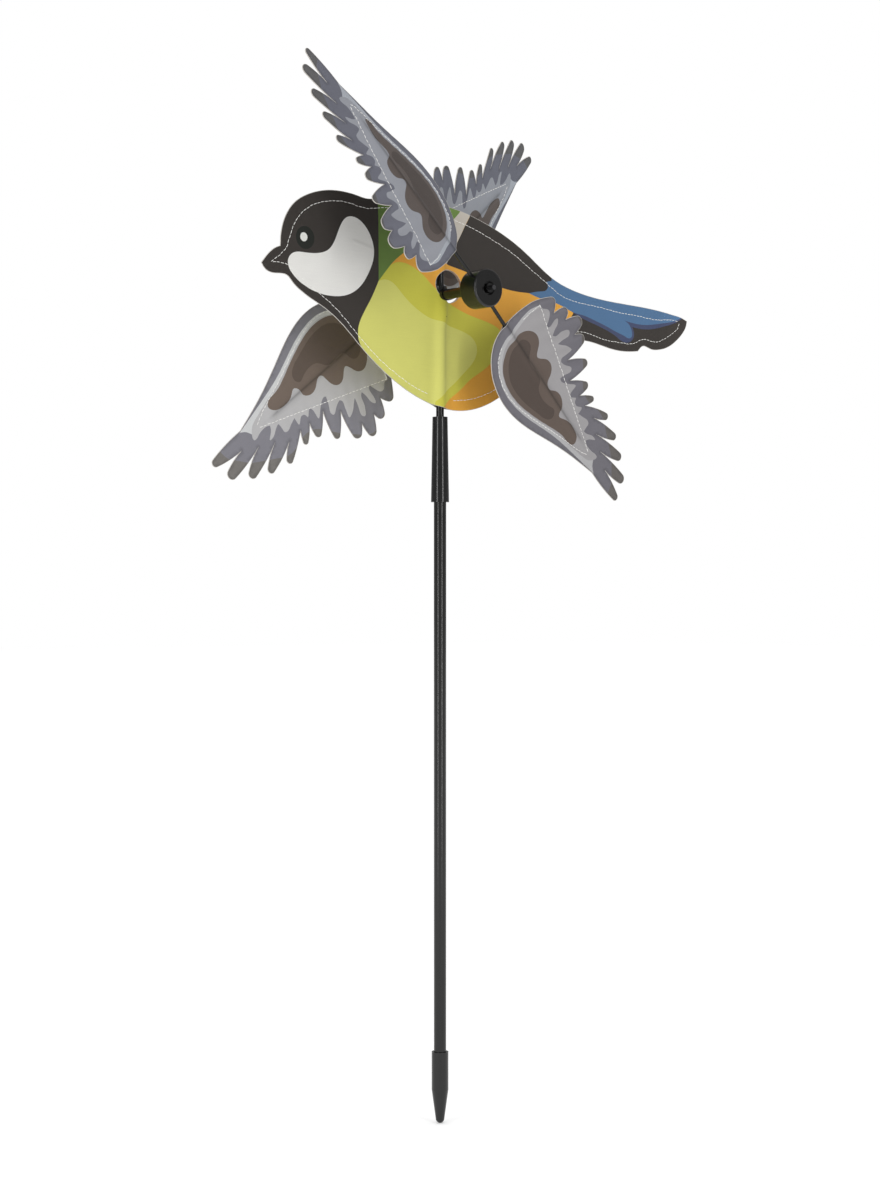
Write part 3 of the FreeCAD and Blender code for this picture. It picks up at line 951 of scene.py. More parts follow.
HARD_FINISHES = {
    "black_moulding": Finish("satin_black_moulding", (11, 11, 11), 0.18, mottle=0.25),
    "black_tube": Finish(
        "painted_black_tube", (13, 13, 12), 0.18, mottle=0.2, stretch=(1, 1, 0.08),
        relief=0.000006, specular=0.45,
    ),
    "black_rod": Finish(
        "glossy_black_rod", (10, 10, 9), 0.16, mottle=0.2, relief=0.00002, specular=0.4,
    ),
    "nylon": Finish("natural_nylon", (205, 200, 188), 0.45),
    "steel": Finish("drawn_steel", (96, 96, 98), 0.3, metallic=1.0, stretch=(1, 0.05, 1)),
}
SOFT_FINISHES = {
    "thread": Finish("white_thread", (232, 231, 227), 0.6, mottle=0.08, relief=0.00008),
    "sealed_edge": Finish("heat_sealed_edge", (176, 172, 166), 0.5, mottle=0.2),
    "bird_cloth": PrintedPolyester("bird_polyester", light_through=0.24),
    "wing_cloth": PrintedPolyester("wing_polyester", light_through=0.22),
}


# ------------------------------------------------------------------ the bird's body
# beak, back, tail end and belly
BIRD_OUTLINE = (
    [(-144.0, 6.6), (-141.7, 9.3), (-137.3, 13.8), (-132.9, 16.8), (-129.5, 18.1)],
    [(-129.5, 18.1), (-129.2, 24.0), (-126.2, 35.0), (-119.3, 44.9), (-107.9, 51.9), (-89.6, 56.4),
     (-75.0, 56.3), (-68.2, 55.4), (-62.8, 54.6), (-56.0, 55.0), (-45.0, 55.6), (-15.0, 58.0),
     (10.0, 57.0), (41.0, 50.0), (76.0, 35.0), (104.0, 19.3), (118.0, 15.0), (162.0, 9.7),
     (211.0, 7.2), (222.1, 5.9), (230.8, 4.5), (235.8, 2.8)],
    [(235.8, 2.8), (235.1, -0.3), (230.8, -6.5), (223.8, -12.4), (215.1, -17.2), (204.7, -19.7),
     (197.8, -19.6), (190.1, -18.1), (185.0, -22.1)],
    [(185.0, -22.1), (177.4, -22.9), (160.0, -22.6), (132.0, -18.8), (106.0, -25.0), (80.0, -42.0),
     (50.0, -63.5), (18.0, -73.0), (-10.0, -69.5), (-40.0, -56.5), (-67.0, -37.0), (-80.3, -25.6),
     (-96.2, -15.6), (-106.6, -11.0), (-114.4, -6.9), (-120.8, -2.1), (-123.6, 0.6), (-127.2, 1.6),
     (-136.1, 1.4), (-141.1, 3.1), (-144.0, 6.6)],
)
# top, under the tail and belly, throat, head
BIRD_SEAMS = (
    [(-6.0, 51.0), (15.6, 48.7), (30.6, 45.3), (42.8, 41.4), (55.0, 37.0), (65.0, 32.9),
     (80.0, 24.9), (90.0, 19.8), (100.0, 14.4), (110.0, 9.6), (116.5, 7.9), (130.6, 6.2),
     (149.4, 4.9), (165.9, 3.1), (183.5, 2.4), (205.9, 1.3), (224.7, 2.0), (228.0, 1.2)],
    [(228.0, 1.2), (225.9, -2.9), (220.0, -7.3), (210.0, -12.4), (201.0, -14.5), (190.0, -13.5),
     (184.7, -15.5), (180.0, -17.2), (169.4, -17.6), (150.6, -16.5), (130.6, -13.2), (118.0, -14.6),
     (104.0, -19.6), (88.0, -29.8), (70.0, -43.4), (54.0, -54.6), (41.7, -60.4), (28.3, -64.7),
     (10.6, -66.9)],
    [(-10.6, -64.0), (-25.0, -59.0), (-36.0, -53.6), (-47.0, -47.4), (-58.0, -39.6), (-69.4, -30.2),
     (-75.0, -25.2), (-88.0, -14.6), (-104.0, -5.2), (-118.0, 3.6), (-125.0, 7.4), (-137.0, 7.6)],
    [(-137.0, 7.6), (-131.0, 12.0), (-126.0, 16.4), (-122.2, 25.0), (-117.0, 35.6), (-106.0, 45.0),
     (-90.0, 49.8), (-78.0, 50.4), (-69.4, 49.2), (-61.0, 48.6), (-53.9, 49.6), (-40.6, 51.4),
     (-22.0, 52.0), (-6.0, 51.0)],
)
BIRD_PRINT = [
    PrintArea(Ink.OLIVE, (
        [(-52.4, 4.2), (-46.0, 11.8), (-40.6, 16.2), (-30.6, 17.6), (-21.7, 14.8), (-12.8, 9.8),
         (-3.9, 2.0), (5.0, -3.6), (13.9, -7.4), (25.0, -10.8), (36.0, -13.0), (47.0, -15.8),
         (52.5, -19.0), (53.5, -25.0), (50.0, -33.5), (43.3, -41.0), (36.0, -46.3), (25.0, -53.0),
         (18.3, -58.6), (9.4, -65.2), (1.7, -71.3)],
        *straight([(1.7, -71.3), (0.0, -90.0), (-95.0, -60.0), (-85.0, 0.0), (-52.4, 4.2)]),
    )),
    PrintArea(Ink.LIME, (
        [(-52.4, 4.2), (-47.0, 5.6), (-41.7, 4.6), (-35.0, -0.2), (-28.3, -5.8), (-19.4, -11.3),
         (-8.3, -15.8), (0.6, -17.6), (9.4, -19.7), (20.6, -22.4), (28.3, -26.3), (31.3, -31.3),
         (30.0, -38.0), (25.0, -44.2), (19.4, -49.1), (11.7, -55.8), (2.8, -62.4), (-5.0, -68.4)],
        *straight([(-5.0, -68.4), (-12.0, -90.0), (-95.0, -60.0), (-85.0, 0.0), (-52.4, 4.2)]),
    )),
    PrintArea(Ink.GREEN, (
        [(-52.4, 4.2), (-46.0, 11.4), (-39.4, 18.1), (-30.0, 25.0), (-15.0, 35.5), (0.0, 43.5),
         (10.0, 48.7), (17.2, 55.5)],
        *straight([(17.2, 55.5), (17.2, 80.0), (-60.0, 80.0), (-52.4, 4.2)]),
    )),
    PrintArea(Ink.CREAM, (
        [(17.2, 55.5), (10.0, 48.7), (0.0, 43.5), (-15.0, 35.5), (-30.0, 25.0)],
        [(-30.0, 25.0), (-16.0, 24.6), (-4.0, 22.6), (4.5, 20.3)],
        *straight([(4.5, 20.3), (15.6, 37.6), (27.0, 55.5), (27.0, 80.0), (17.2, 80.0),
                   (17.2, 55.5)]),
    )),
    PrintArea(Ink.SLATE, (
        [(25.6, 53.1), (4.5, 20.3)],
        [(4.5, 20.3), (10.0, 19.2), (21.7, 17.0), (38.0, 12.6), (56.0, 9.4), (67.0, 8.5),
         (78.8, 8.5)],
        [(78.8, 8.5), (89.4, 10.6), (96.0, 12.6), (97.2, 14.4), (95.3, 17.6)],
        *straight([(95.3, 17.6), (100.6, 18.8), (112.0, 60.0), (30.0, 80.0), (25.6, 53.1)]),
    )),
    PrintArea(Ink.TAIL_BLACK, (
        [(121.2, -0.6), (116.0, -7.5), (108.0, -15.0), (99.0, -24.0), (94.0, -34.0)],
        *straight([(94.0, -34.0), (94.0, -60.0), (250.0, -60.0), (250.0, 30.0), (121.2, -0.6)]),
    )),
    PrintArea(Ink.NAVY, (
        [(116.0, 1.0), (130.6, -4.1), (142.4, -7.1), (154.0, -10.2), (163.5, -13.8), (171.8, -17.1),
         (177.6, -16.0), (180.6, -12.0), (180.2, -8.6), (178.8, -5.9)],
        [(178.8, -5.9), (189.4, -6.5), (201.0, -5.3), (213.0, -2.4), (224.7, 1.2), (231.0, 4.4)],
        *straight([(231.0, 4.4), (231.0, 30.0), (116.0, 30.0), (116.0, 1.0)]),
    )),
    PrintArea(Ink.SKY, (
        [(78.8, 8.5), (86.5, 6.5), (107.0, 3.5), (121.2, -0.6), (130.6, -1.8), (142.4, -4.5),
         (154.0, -7.6), (163.5, -10.6), (171.8, -12.9), (175.9, -13.9), (178.4, -12.7),
         (178.6, -10.0), (177.2, -6.6), (174.7, -3.7), (171.2, -2.0)],
        [(171.2, -2.0), (177.6, -2.9), (187.0, -3.5), (198.8, -2.6), (210.6, -0.6), (222.4, 1.8),
         (229.4, 4.6)],
        *straight([(229.4, 4.6), (229.4, 40.0), (104.0, 60.0), (100.6, 18.8), (95.3, 17.6)]),
        [(95.3, 17.6), (97.2, 14.4), (96.0, 12.6), (89.4, 10.6), (78.8, 8.5)],
    )),
    PrintArea(Ink.SLATE, (
        [(-52.4, 90.0), (-52.4, 4.2)],
        [(-52.4, 4.2), (-58.3, -6.9), (-64.5, -17.0), (-68.0, -24.6), (-68.6, -30.6),
         (-67.0, -36.0), (-64.5, -40.5)],
        *straight([(-64.5, -40.5), (-62.0, -70.0), (-180.0, -70.0), (-180.0, 90.0), (-52.4, 90.0)]),
    )),
    PrintArea(Ink.CHEEK, (
        [(-56.3, 23.7), (-58.3, 30.4), (-63.0, 37.0), (-70.5, 41.6), (-78.0, 41.2), (-83.6, 35.0),
         (-87.5, 26.5), (-92.5, 19.8), (-101.0, 16.6), (-112.0, 16.0), (-120.5, 14.6),
         (-124.0, 10.0), (-121.0, 3.0), (-113.0, -3.0), (-101.0, -7.3), (-88.0, -8.5),
         (-76.0, -6.2), (-66.5, 0.2), (-60.0, 9.5), (-56.8, 17.0)],
    )),
    PrintArea(Ink.EYE, (circle((-110.8, 25.0), 7.0, 16),)),
    PrintArea(Ink.EYE_GLINT, (circle((-111.9, 25.3), 2.8, 12),)),
]
CHEEK_CREASE = np.array([(-72.5, 27.0), (-57.5, 24.0)])


@dataclass
class BirdBody:
    """The double-layer printed bird, drawn over the cross fitting and its two rods."""

    axle_height: float
    hole_centre: Point = (6.0, 6.1)
    hole_reach: Pair = (11.7, 10.7)
    fitting_radius: float = 4.5
    fitting_span: Pair = (-17.0, 8.0)
    rod_radius: float = 2.5
    cap_radius: float = 3.55
    cap_span: Pair = (41.2, 52.1)
    slack: float = 0.3
    tent_widths: Pair = (5.2, 4.2)  # towards the head and towards the tail
    tent_room: float = 8.0
    fitting_blend: float = 2.2
    cap_blends: Pair = (0.6, 0.8)
    puff: Puff = Puff(0.75, inset=6.0, rise=9.0, pinch=Band(0.9, 0.0, 2.4))
    pucker: Pucker = Pucker(0.2, reach=4.0, length=9.5)
    # height, and length along x and along y
    long_wave: Triple = (0.25, 31.0, 26.0)
    short_wave: Triple = (0.12, 13.0, 17.0)
    flat_by_rod: Pair = (12.0, 40.0)
    crease_ridge: Band = Band(0.3, 0.0, 0.9)
    # painted shade along the cheek's crease
    crease_shade: Band = Band(0.09, 0.0, 0.8)
    # painted shadow of the rod seen through the cloth
    rod_shades: tuple[Band, Band] = (Band(0.12, 2.6, 1.6), Band(0.05, 5.0, 3.0))
    # painted highlight on the lit side of the cloth tented over the rod
    rod_painted_highlight: Band = Band(0.05, -4.0, 2.6)
    rod_top: float = 50.0
    paler_tail: Triple = (0.25, 205.0, 30.0)  # how much paler, from where, over what length
    mesh_step: float = 2.6
    tent_grid: tuple[Triple, Triple] = ((-13.0, 12.0, 1.25), (-72.0, 56.0, 2.0))
    crease_grid: tuple[Triple, Triple] = ((-76.0, -54.0, 1.3), (20.0, 31.0, 0.9))
    cloth: CutCloth = field(init=False)
    seams: list[np.ndarray] = field(init=False)
    edge_path: np.ndarray = field(init=False)

    def __post_init__(self) -> None:
        """Cut the cloth and draw its seams."""
        outline = join([smooth_curve(run) for run in BIRD_OUTLINE])
        self.edge_path = closed(join([smooth_curve(run, 3.0) for run in BIRD_OUTLINE]))
        self.seams = [smooth_curve(run) for run in BIRD_SEAMS]
        turns = np.linspace(0, 2 * math.pi, 40, endpoint=False)
        ring = np.column_stack([np.cos(turns), np.sin(turns)])
        hole = np.array(self.hole_centre) + np.array(self.hole_reach) * ring
        close = np.array([
            (x, y) for across, up in (self.tent_grid, self.crease_grid)
            for y in np.arange(*up) for x in np.arange(*across)
        ])
        self.cloth = CutCloth(outline, [hole], BIRD_PRINT, Ink.ORANGE, self.mesh_step, close)

    def frame(self) -> Matrix:
        """The pattern's frame: x to the tail, y up, z to the front."""
        return Matrix(((1, 0, 0, 0), (0, 0, -1, 0), (0, 1, 0, self.axle_height), (0, 0, 0, 1)))

    def _middle(self, points: np.ndarray) -> np.ndarray:
        """Middle surface: soft waves, puckers by the seam and one crease in the cheek.

        Args:
            points: Places on the pattern.

        Returns:
            The surface's height at each place.
        """
        x, y = points[:, 0], points[:, 1]
        height, length, rise = self.long_wave
        wave = height * np.sin(x / length + 0.8) * np.cos(y / rise)
        height, length, rise = self.short_wave
        wave += height * np.sin(x / length + y / rise)
        flat, change = self.flat_by_rod
        off_rod = np.clip(np.abs(x) - flat, 0.0, change) / change
        pucker = self.pucker.at(*nearest(points, np.concatenate(self.seams)))
        crease, _ = nearest(points, CHEEK_CREASE)
        return wave * off_rod + pucker + self.crease_ridge.at(crease)

    def _half_gap(self, points: np.ndarray) -> np.ndarray:
        """Half the space between the layers: tight at the seams, tented over rods and cap.

        Args:
            points: Places on the pattern.

        Returns:
            Half the gap at each place.
        """
        x, y = points[:, 0], points[:, 1]
        edge, _ = nearest(points, self.edge_path)
        seam, _ = nearest(points, np.concatenate(self.seams))
        low, high = self.fitting_span
        foot, top = self.cap_span
        blend = self.fitting_blend
        radius = self.rod_radius + (self.fitting_radius - self.rod_radius) * (
            below(y, high, blend) * above(y, low, blend)
        ) + self.slack
        radius += (self.cap_radius - self.rod_radius) * above(y, foot, self.cap_blends[0])
        width = np.where(x < 0, *self.tent_widths)
        width *= 0.75 + 0.25 * radius / (self.rod_radius + self.slack)
        tent = radius * hump(x, width) * below(y, top, self.cap_blends[1])
        return CLOSED_GAP + self.puff.at(edge, seam) * (1 - hump(x, self.tent_room)) + tent

    def _tint(self, points: np.ndarray) -> np.ndarray:
        """Painted shadow of rod and cheek crease, painted highlight by the rod, and a paler tail
        tip.

        Args:
            points: Places on the pattern.

        Returns:
            Share of the ink's brightness at each place.
        """
        x, y = points[:, 0], points[:, 1]
        # painted shadow of the rod, stopping at its top, then a painted highlight beside it
        shade = 1 - sum(band.at(x) for band in self.rod_shades) * (y < self.rod_top)
        shade *= 1 + self.rod_painted_highlight.at(x)
        gain, start, reach = self.paler_tail
        tail = 1 + gain * np.clip((x - start) / reach, 0, 1)
        # painted shade along the cheek's crease
        crease, _ = nearest(points, CHEEK_CREASE)
        return shade * tail * (1 - self.crease_shade.at(crease))

    def build(self, materials: Materials) -> list[bpy.types.Object]:
        """Make the two layers, their sewing and their cut edges.

        Args:
            materials: The materials by name.

        Returns:
            The pieces made.
        """
        place = PartPlace(
            "bird", "bird_cloth", "bird_layer_", (0.380, 0.131),
            ["swivel_rod", "upper_rod", "cross_fitting"],
        )
        return SewnPart(
            "bird", self.cloth, Drape(self._middle, self._half_gap), self.seams, self.frame(),
            self._tint, {Layer.FRONT: 1, Layer.BACK: -1}, place,
        ).build(materials)


# ------------------------------------------------------------------ the rotors
FEATHER_STEP = 1.5
FEATHER_BULGE = 0.035  # how far a feather's side swells, as a share of its length
FEATHER_BULGE_MOST = 0.7
WING_LEADING_EDGE = [
    (157.0, 5.6), (134.0, 12.7), (110.0, 22.3), (91.0, 30.5), (68.0, 35.6), (45.0, 29.5),
    (33.0, 15.5), (31.0, -3.0), (33.5, -18.0), (36.5, -28.0),
]
# centre and radius of each feather's round tip
WING_FEATHER_TIPS = [
    (49.0, -41.3, 4.2), (61.8, -47.0, 3.4), (74.3, -51.3, 4.0), (85.0, -46.0, 3.7),
    (98.3, -38.0, 2.8), (110.0, -28.7, 2.7), (121.0, -27.5, 2.0), (138.8, -29.3, 2.4),
    (153.8, -25.8, 2.7), (167.0, -20.0, 3.0), (179.3, -11.4, 3.4), (184.4, 0.8, 2.6),
]
WING_NOTCHES = [
    (55.6, -39.0), (66.0, -44.3), (78.1, -43.3), (86.5, -27.8), (97.6, -20.1), (111.2, -20.1),
    (119.6, -19.6), (131.3, -20.2), (140.5, -14.5), (151.9, -9.5), (164.0, -4.3),
]
WING_TEETH = [
    [(45.7, -32.9), (48.9, -35.7), (51.8, -36.4), (55.4, -32.1), (57.1, -27.9)],
    [(59.1, -29.6), (59.3, -34.3), (60.7, -39.6), (62.9, -37.1), (63.6, -32.9), (65.0, -28.0)],
    [(66.8, -29.3), (68.2, -34.3), (70.0, -38.6), (72.9, -41.4), (74.6, -40.0), (73.9, -35.0),
     (72.1, -27.7)],
    [(74.3, -29.3), (77.9, -32.5), (81.1, -34.3), (83.7, -35.0), (83.2, -31.4), (82.1, -27.1),
     (81.4, -23.6), (82.9, -22.1)],
    [(86.1, -23.2), (89.3, -25.4), (92.5, -26.8), (93.6, -25.0), (92.5, -21.4), (91.1, -18.2),
     (90.0, -14.3)],
    [(91.4, -13.6), (94.3, -14.6), (97.1, -16.8), (100.0, -19.4), (102.1, -21.4), (103.4, -22.1),
     (103.9, -19.3), (103.9, -15.0), (104.6, -12.9)],
    [(106.1, -13.6), (107.9, -15.0), (110.0, -16.6), (110.4, -15.0), (111.4, -13.6)],
    [(113.6, -13.2), (115.0, -13.9), (118.6, -16.4), (118.9, -14.3), (118.9, -11.1)],
    [(120.7, -11.8), (124.3, -13.2), (128.6, -14.6), (130.4, -13.9), (130.7, -10.7), (131.1, -7.1)],
    [(132.9, -7.5), (137.1, -10.0), (140.0, -11.4), (142.9, -11.4), (140.0, -8.6), (137.9, -6.4),
     (136.8, -4.3)],
    [(140.0, -3.2), (143.6, -3.2), (147.1, -3.9), (150.4, -5.0), (152.5, -4.6), (152.5, -2.9),
     (151.4, -0.9)],
    [(154.3, 2.9), (158.3, 5.0)],
]
WING_PRINT = [
    PrintArea(Ink.WING_TIP, (
        [(38.0, -44.0), (49.0, -44.6), (61.8, -49.6), (74.0, -53.4), (86.0, -46.5), (99.0, -35.5),
         (110.5, -25.5), (121.0, -24.0), (133.5, -27.0), (142.0, -25.0), (149.0, -21.5),
         (155.0, -18.5), (161.0, -15.5), (167.0, -11.0), (171.0, -7.0), (175.0, -3.0), (177.0, 2.0),
         (178.0, 12.0)],
        *straight([(178.0, 12.0), (210.0, 12.0), (210.0, -70.0), (30.0, -70.0), (38.0, -44.0)]),
    )),
    PrintArea(Ink.WING_STRIPE, (
        [(158.3, 5.0), (152.0, 6.4), (144.0, 8.2), (130.0, 11.4), (115.0, 15.4), (100.0, 21.0),
         (85.0, 26.7), (72.0, 29.6), (62.0, 29.8), (52.5, 27.0), (44.5, 21.0), (39.0, 12.0),
         (37.4, 0.0), (37.6, -12.0), (39.0, -24.0), (43.2, -33.2)],
        *toothed((43.2, -33.2), WING_TEETH),
    )),
    PrintArea(Ink.WING_FIELD, (
        [(151.4, -0.9), (148.5, 2.4), (142.0, 5.2), (130.0, 8.6), (114.0, 12.7), (99.0, 18.4),
         (84.0, 24.0), (72.0, 26.9), (63.0, 27.1), (54.0, 24.4), (46.4, 18.8), (41.6, 10.8),
         (40.0, 0.0), (40.2, -12.0), (41.4, -24.0), (44.0, -32.7)],
        *toothed((44.0, -32.7), WING_TEETH[:-1]),
    )),
    PrintArea(Ink.WING_BROWN, (
        [(42.9, 2.9), (42.9, 7.1), (45.0, 14.3), (49.3, 20.7), (57.1, 25.0), (64.3, 26.3),
         (74.3, 25.7), (85.7, 22.6), (100.0, 17.1), (111.4, 12.1), (121.4, 9.3), (128.6, 7.9),
         (130.7, 5.0), (129.3, 2.1), (122.9, -0.3), (115.7, 0.0), (110.0, 2.6), (107.1, 3.6),
         (105.4, 2.1), (104.3, -2.9), (100.0, -6.4), (96.4, -6.7), (91.4, -4.3), (87.9, -1.4),
         (85.0, -1.7), (82.9, -5.7), (80.7, -11.4), (77.1, -14.0), (72.9, -13.6), (68.6, -10.0),
         (65.0, -7.9), (62.9, -10.0), (59.3, -15.7), (55.0, -17.4), (50.0, -15.7), (45.0, -10.0),
         (42.9, -2.9)],
    )),
    PrintArea(Ink.WING_UMBER, (
        [(46.4, 0.7), (47.9, 10.0), (52.9, 17.1), (60.0, 21.4), (68.6, 22.4), (80.0, 20.7),
         (91.4, 17.1), (100.0, 13.6), (103.1, 10.0), (103.1, 6.4), (100.7, 4.0), (97.1, 5.0),
         (91.4, 6.9), (85.7, 7.1), (80.7, 5.0), (77.9, 1.4), (70.0, 0.2), (60.7, -0.7),
         (58.6, -5.0), (55.0, -8.6), (50.7, -7.9), (47.1, -4.3)],
    )),
]
WING_SEAMS = [
    [(42.0, -33.0), (146.6, 0.0)],
    [(43.0, -33.0), (40.8, -24.0), (39.0, -13.0)],
    [(39.0, 11.0), (41.0, 17.0), (47.0, 23.6), (55.0, 27.6), (67.0, 29.0), (82.0, 25.8),
     (101.0, 18.6), (122.0, 10.2), (130.0, 7.6), (140.0, 3.6), (146.6, 0.0)],
]


def feather_run(notch: Point, tip: Triple, after: Point) -> np.ndarray:
    """Cut line of one feather: a full side, a round tip and a full side.

    Args:
        notch: Where the feather starts.
        tip: Centre and radius of its tip.
        after: Where it ends.

    Returns:
        Samples from notch to notch, both included.
    """
    centre, radius = np.array(tip[:2]), tip[2]
    angles = []
    for point, sense in ((notch, 1), (after, -1)):
        offset = np.array(point) - centre
        touch = math.acos(radius / float(np.linalg.norm(offset)))
        angles.append(math.atan2(offset[1], offset[0]) + sense * touch)
    start, end = angles
    turns = start + np.linspace(0, 1, 9) * ((end - start) % (2 * math.pi))
    arc = centre + radius * np.column_stack([np.cos(turns), np.sin(turns)])
    sides = []
    for a, b in ((np.array(notch), arc[0]), (arc[-1], np.array(after))):
        run = b - a
        length = float(np.linalg.norm(run))
        share = np.linspace(0, 1, max(3, int(length / FEATHER_STEP) + 1))
        out = np.array([run[1], -run[0]]) / length
        bulge = min(FEATHER_BULGE * length, FEATHER_BULGE_MOST)
        sides.append(a + share[:, None] * run + (4 * share * (1 - share) * bulge)[:, None] * out)
    return np.concatenate([sides[0][:-1], arc, sides[1][1:]])


@dataclass(frozen=True)
class WingPose:
    """Where a wing stands at rest, in degrees, and how its cloth bends, in millimetres.

    The last field scales the red, green and blue of its print as painted light and shade: lighter
    on the far low wing in the bird's shade, darker on the high wings.
    """

    direction: float
    lean: float
    turn: float
    phase: float
    edge_curl: float = 0.6
    tip_curl: float = 1.0
    drawn_in: Pair = (0.0, 0.0)
    painted_lighting: Triple = (1.0, 1.0, 1.0)


# the red, green and blue shares given last for each wing are painted light and shade
ROTOR_POSES = {
    Side.NEAR: {
        "low": WingPose(-42.9, -3.9, 1.4, phase=0.4, painted_lighting=(1.0, 0.98, 0.96)),
        "high": WingPose(
            135.5, -2.0, 21.3, phase=1.7, edge_curl=-3.8, tip_curl=-5.0, painted_lighting=(0.88, 0.92, 0.98),
        ),
    },
    Side.FAR: {
        "low": WingPose(217.5, 1.2, 5.8, phase=2.9, painted_lighting=(1.4, 1.4, 1.36)),
        "high": WingPose(
            40.0, 5.8, 16.5, phase=4.1, tip_curl=-4.0, drawn_in=(5.6, 1.5),
            painted_lighting=(0.88, 0.94, 1.0),
        ),
    },
}


@dataclass
class WingPattern:
    """The wing's cut and print, shared by every wing."""

    mesh_step: float = 2.4
    tent_grid: tuple[Triple, Triple] = ((31.0, 140.0, 2.0), (-5.2, 5.3, 0.8))
    cloth: CutCloth = field(init=False)
    seams: list[np.ndarray] = field(init=False)
    edge_path: np.ndarray = field(init=False)

    def __post_init__(self) -> None:
        """Cut the cloth and draw its seams."""
        notches = [WING_LEADING_EDGE[-1]] + WING_NOTCHES + [WING_LEADING_EDGE[0]]
        outline = join([smooth_curve(WING_LEADING_EDGE)] + [
            feather_run(*feather) for feather in zip(notches, WING_FEATHER_TIPS, notches[1:])
        ])
        self.edge_path = closed(outline[::2])
        self.seams = [smooth_curve(run) for run in WING_SEAMS]
        across, up = self.tent_grid
        close = np.array([(x, y) for x in np.arange(*across) for y in np.arange(*up)])
        self.cloth = CutCloth(outline, [], WING_PRINT, Ink.WING_VIOLET, self.mesh_step, close)

    def seam_measure(self, points: np.ndarray) -> tuple[np.ndarray, np.ndarray]:
        """Measure each place against the nearest seam.

        Args:
            points: Places on the pattern.

        Returns:
            The distance to the seam, and the place along it.
        """
        measured = [nearest(points, seam) for seam in self.seams]
        best, along = measured[0]
        for away, place in measured[1:]:
            closer = away < best
            best, along = np.where(closer, away, best), np.where(closer, place, along)
        return best, along


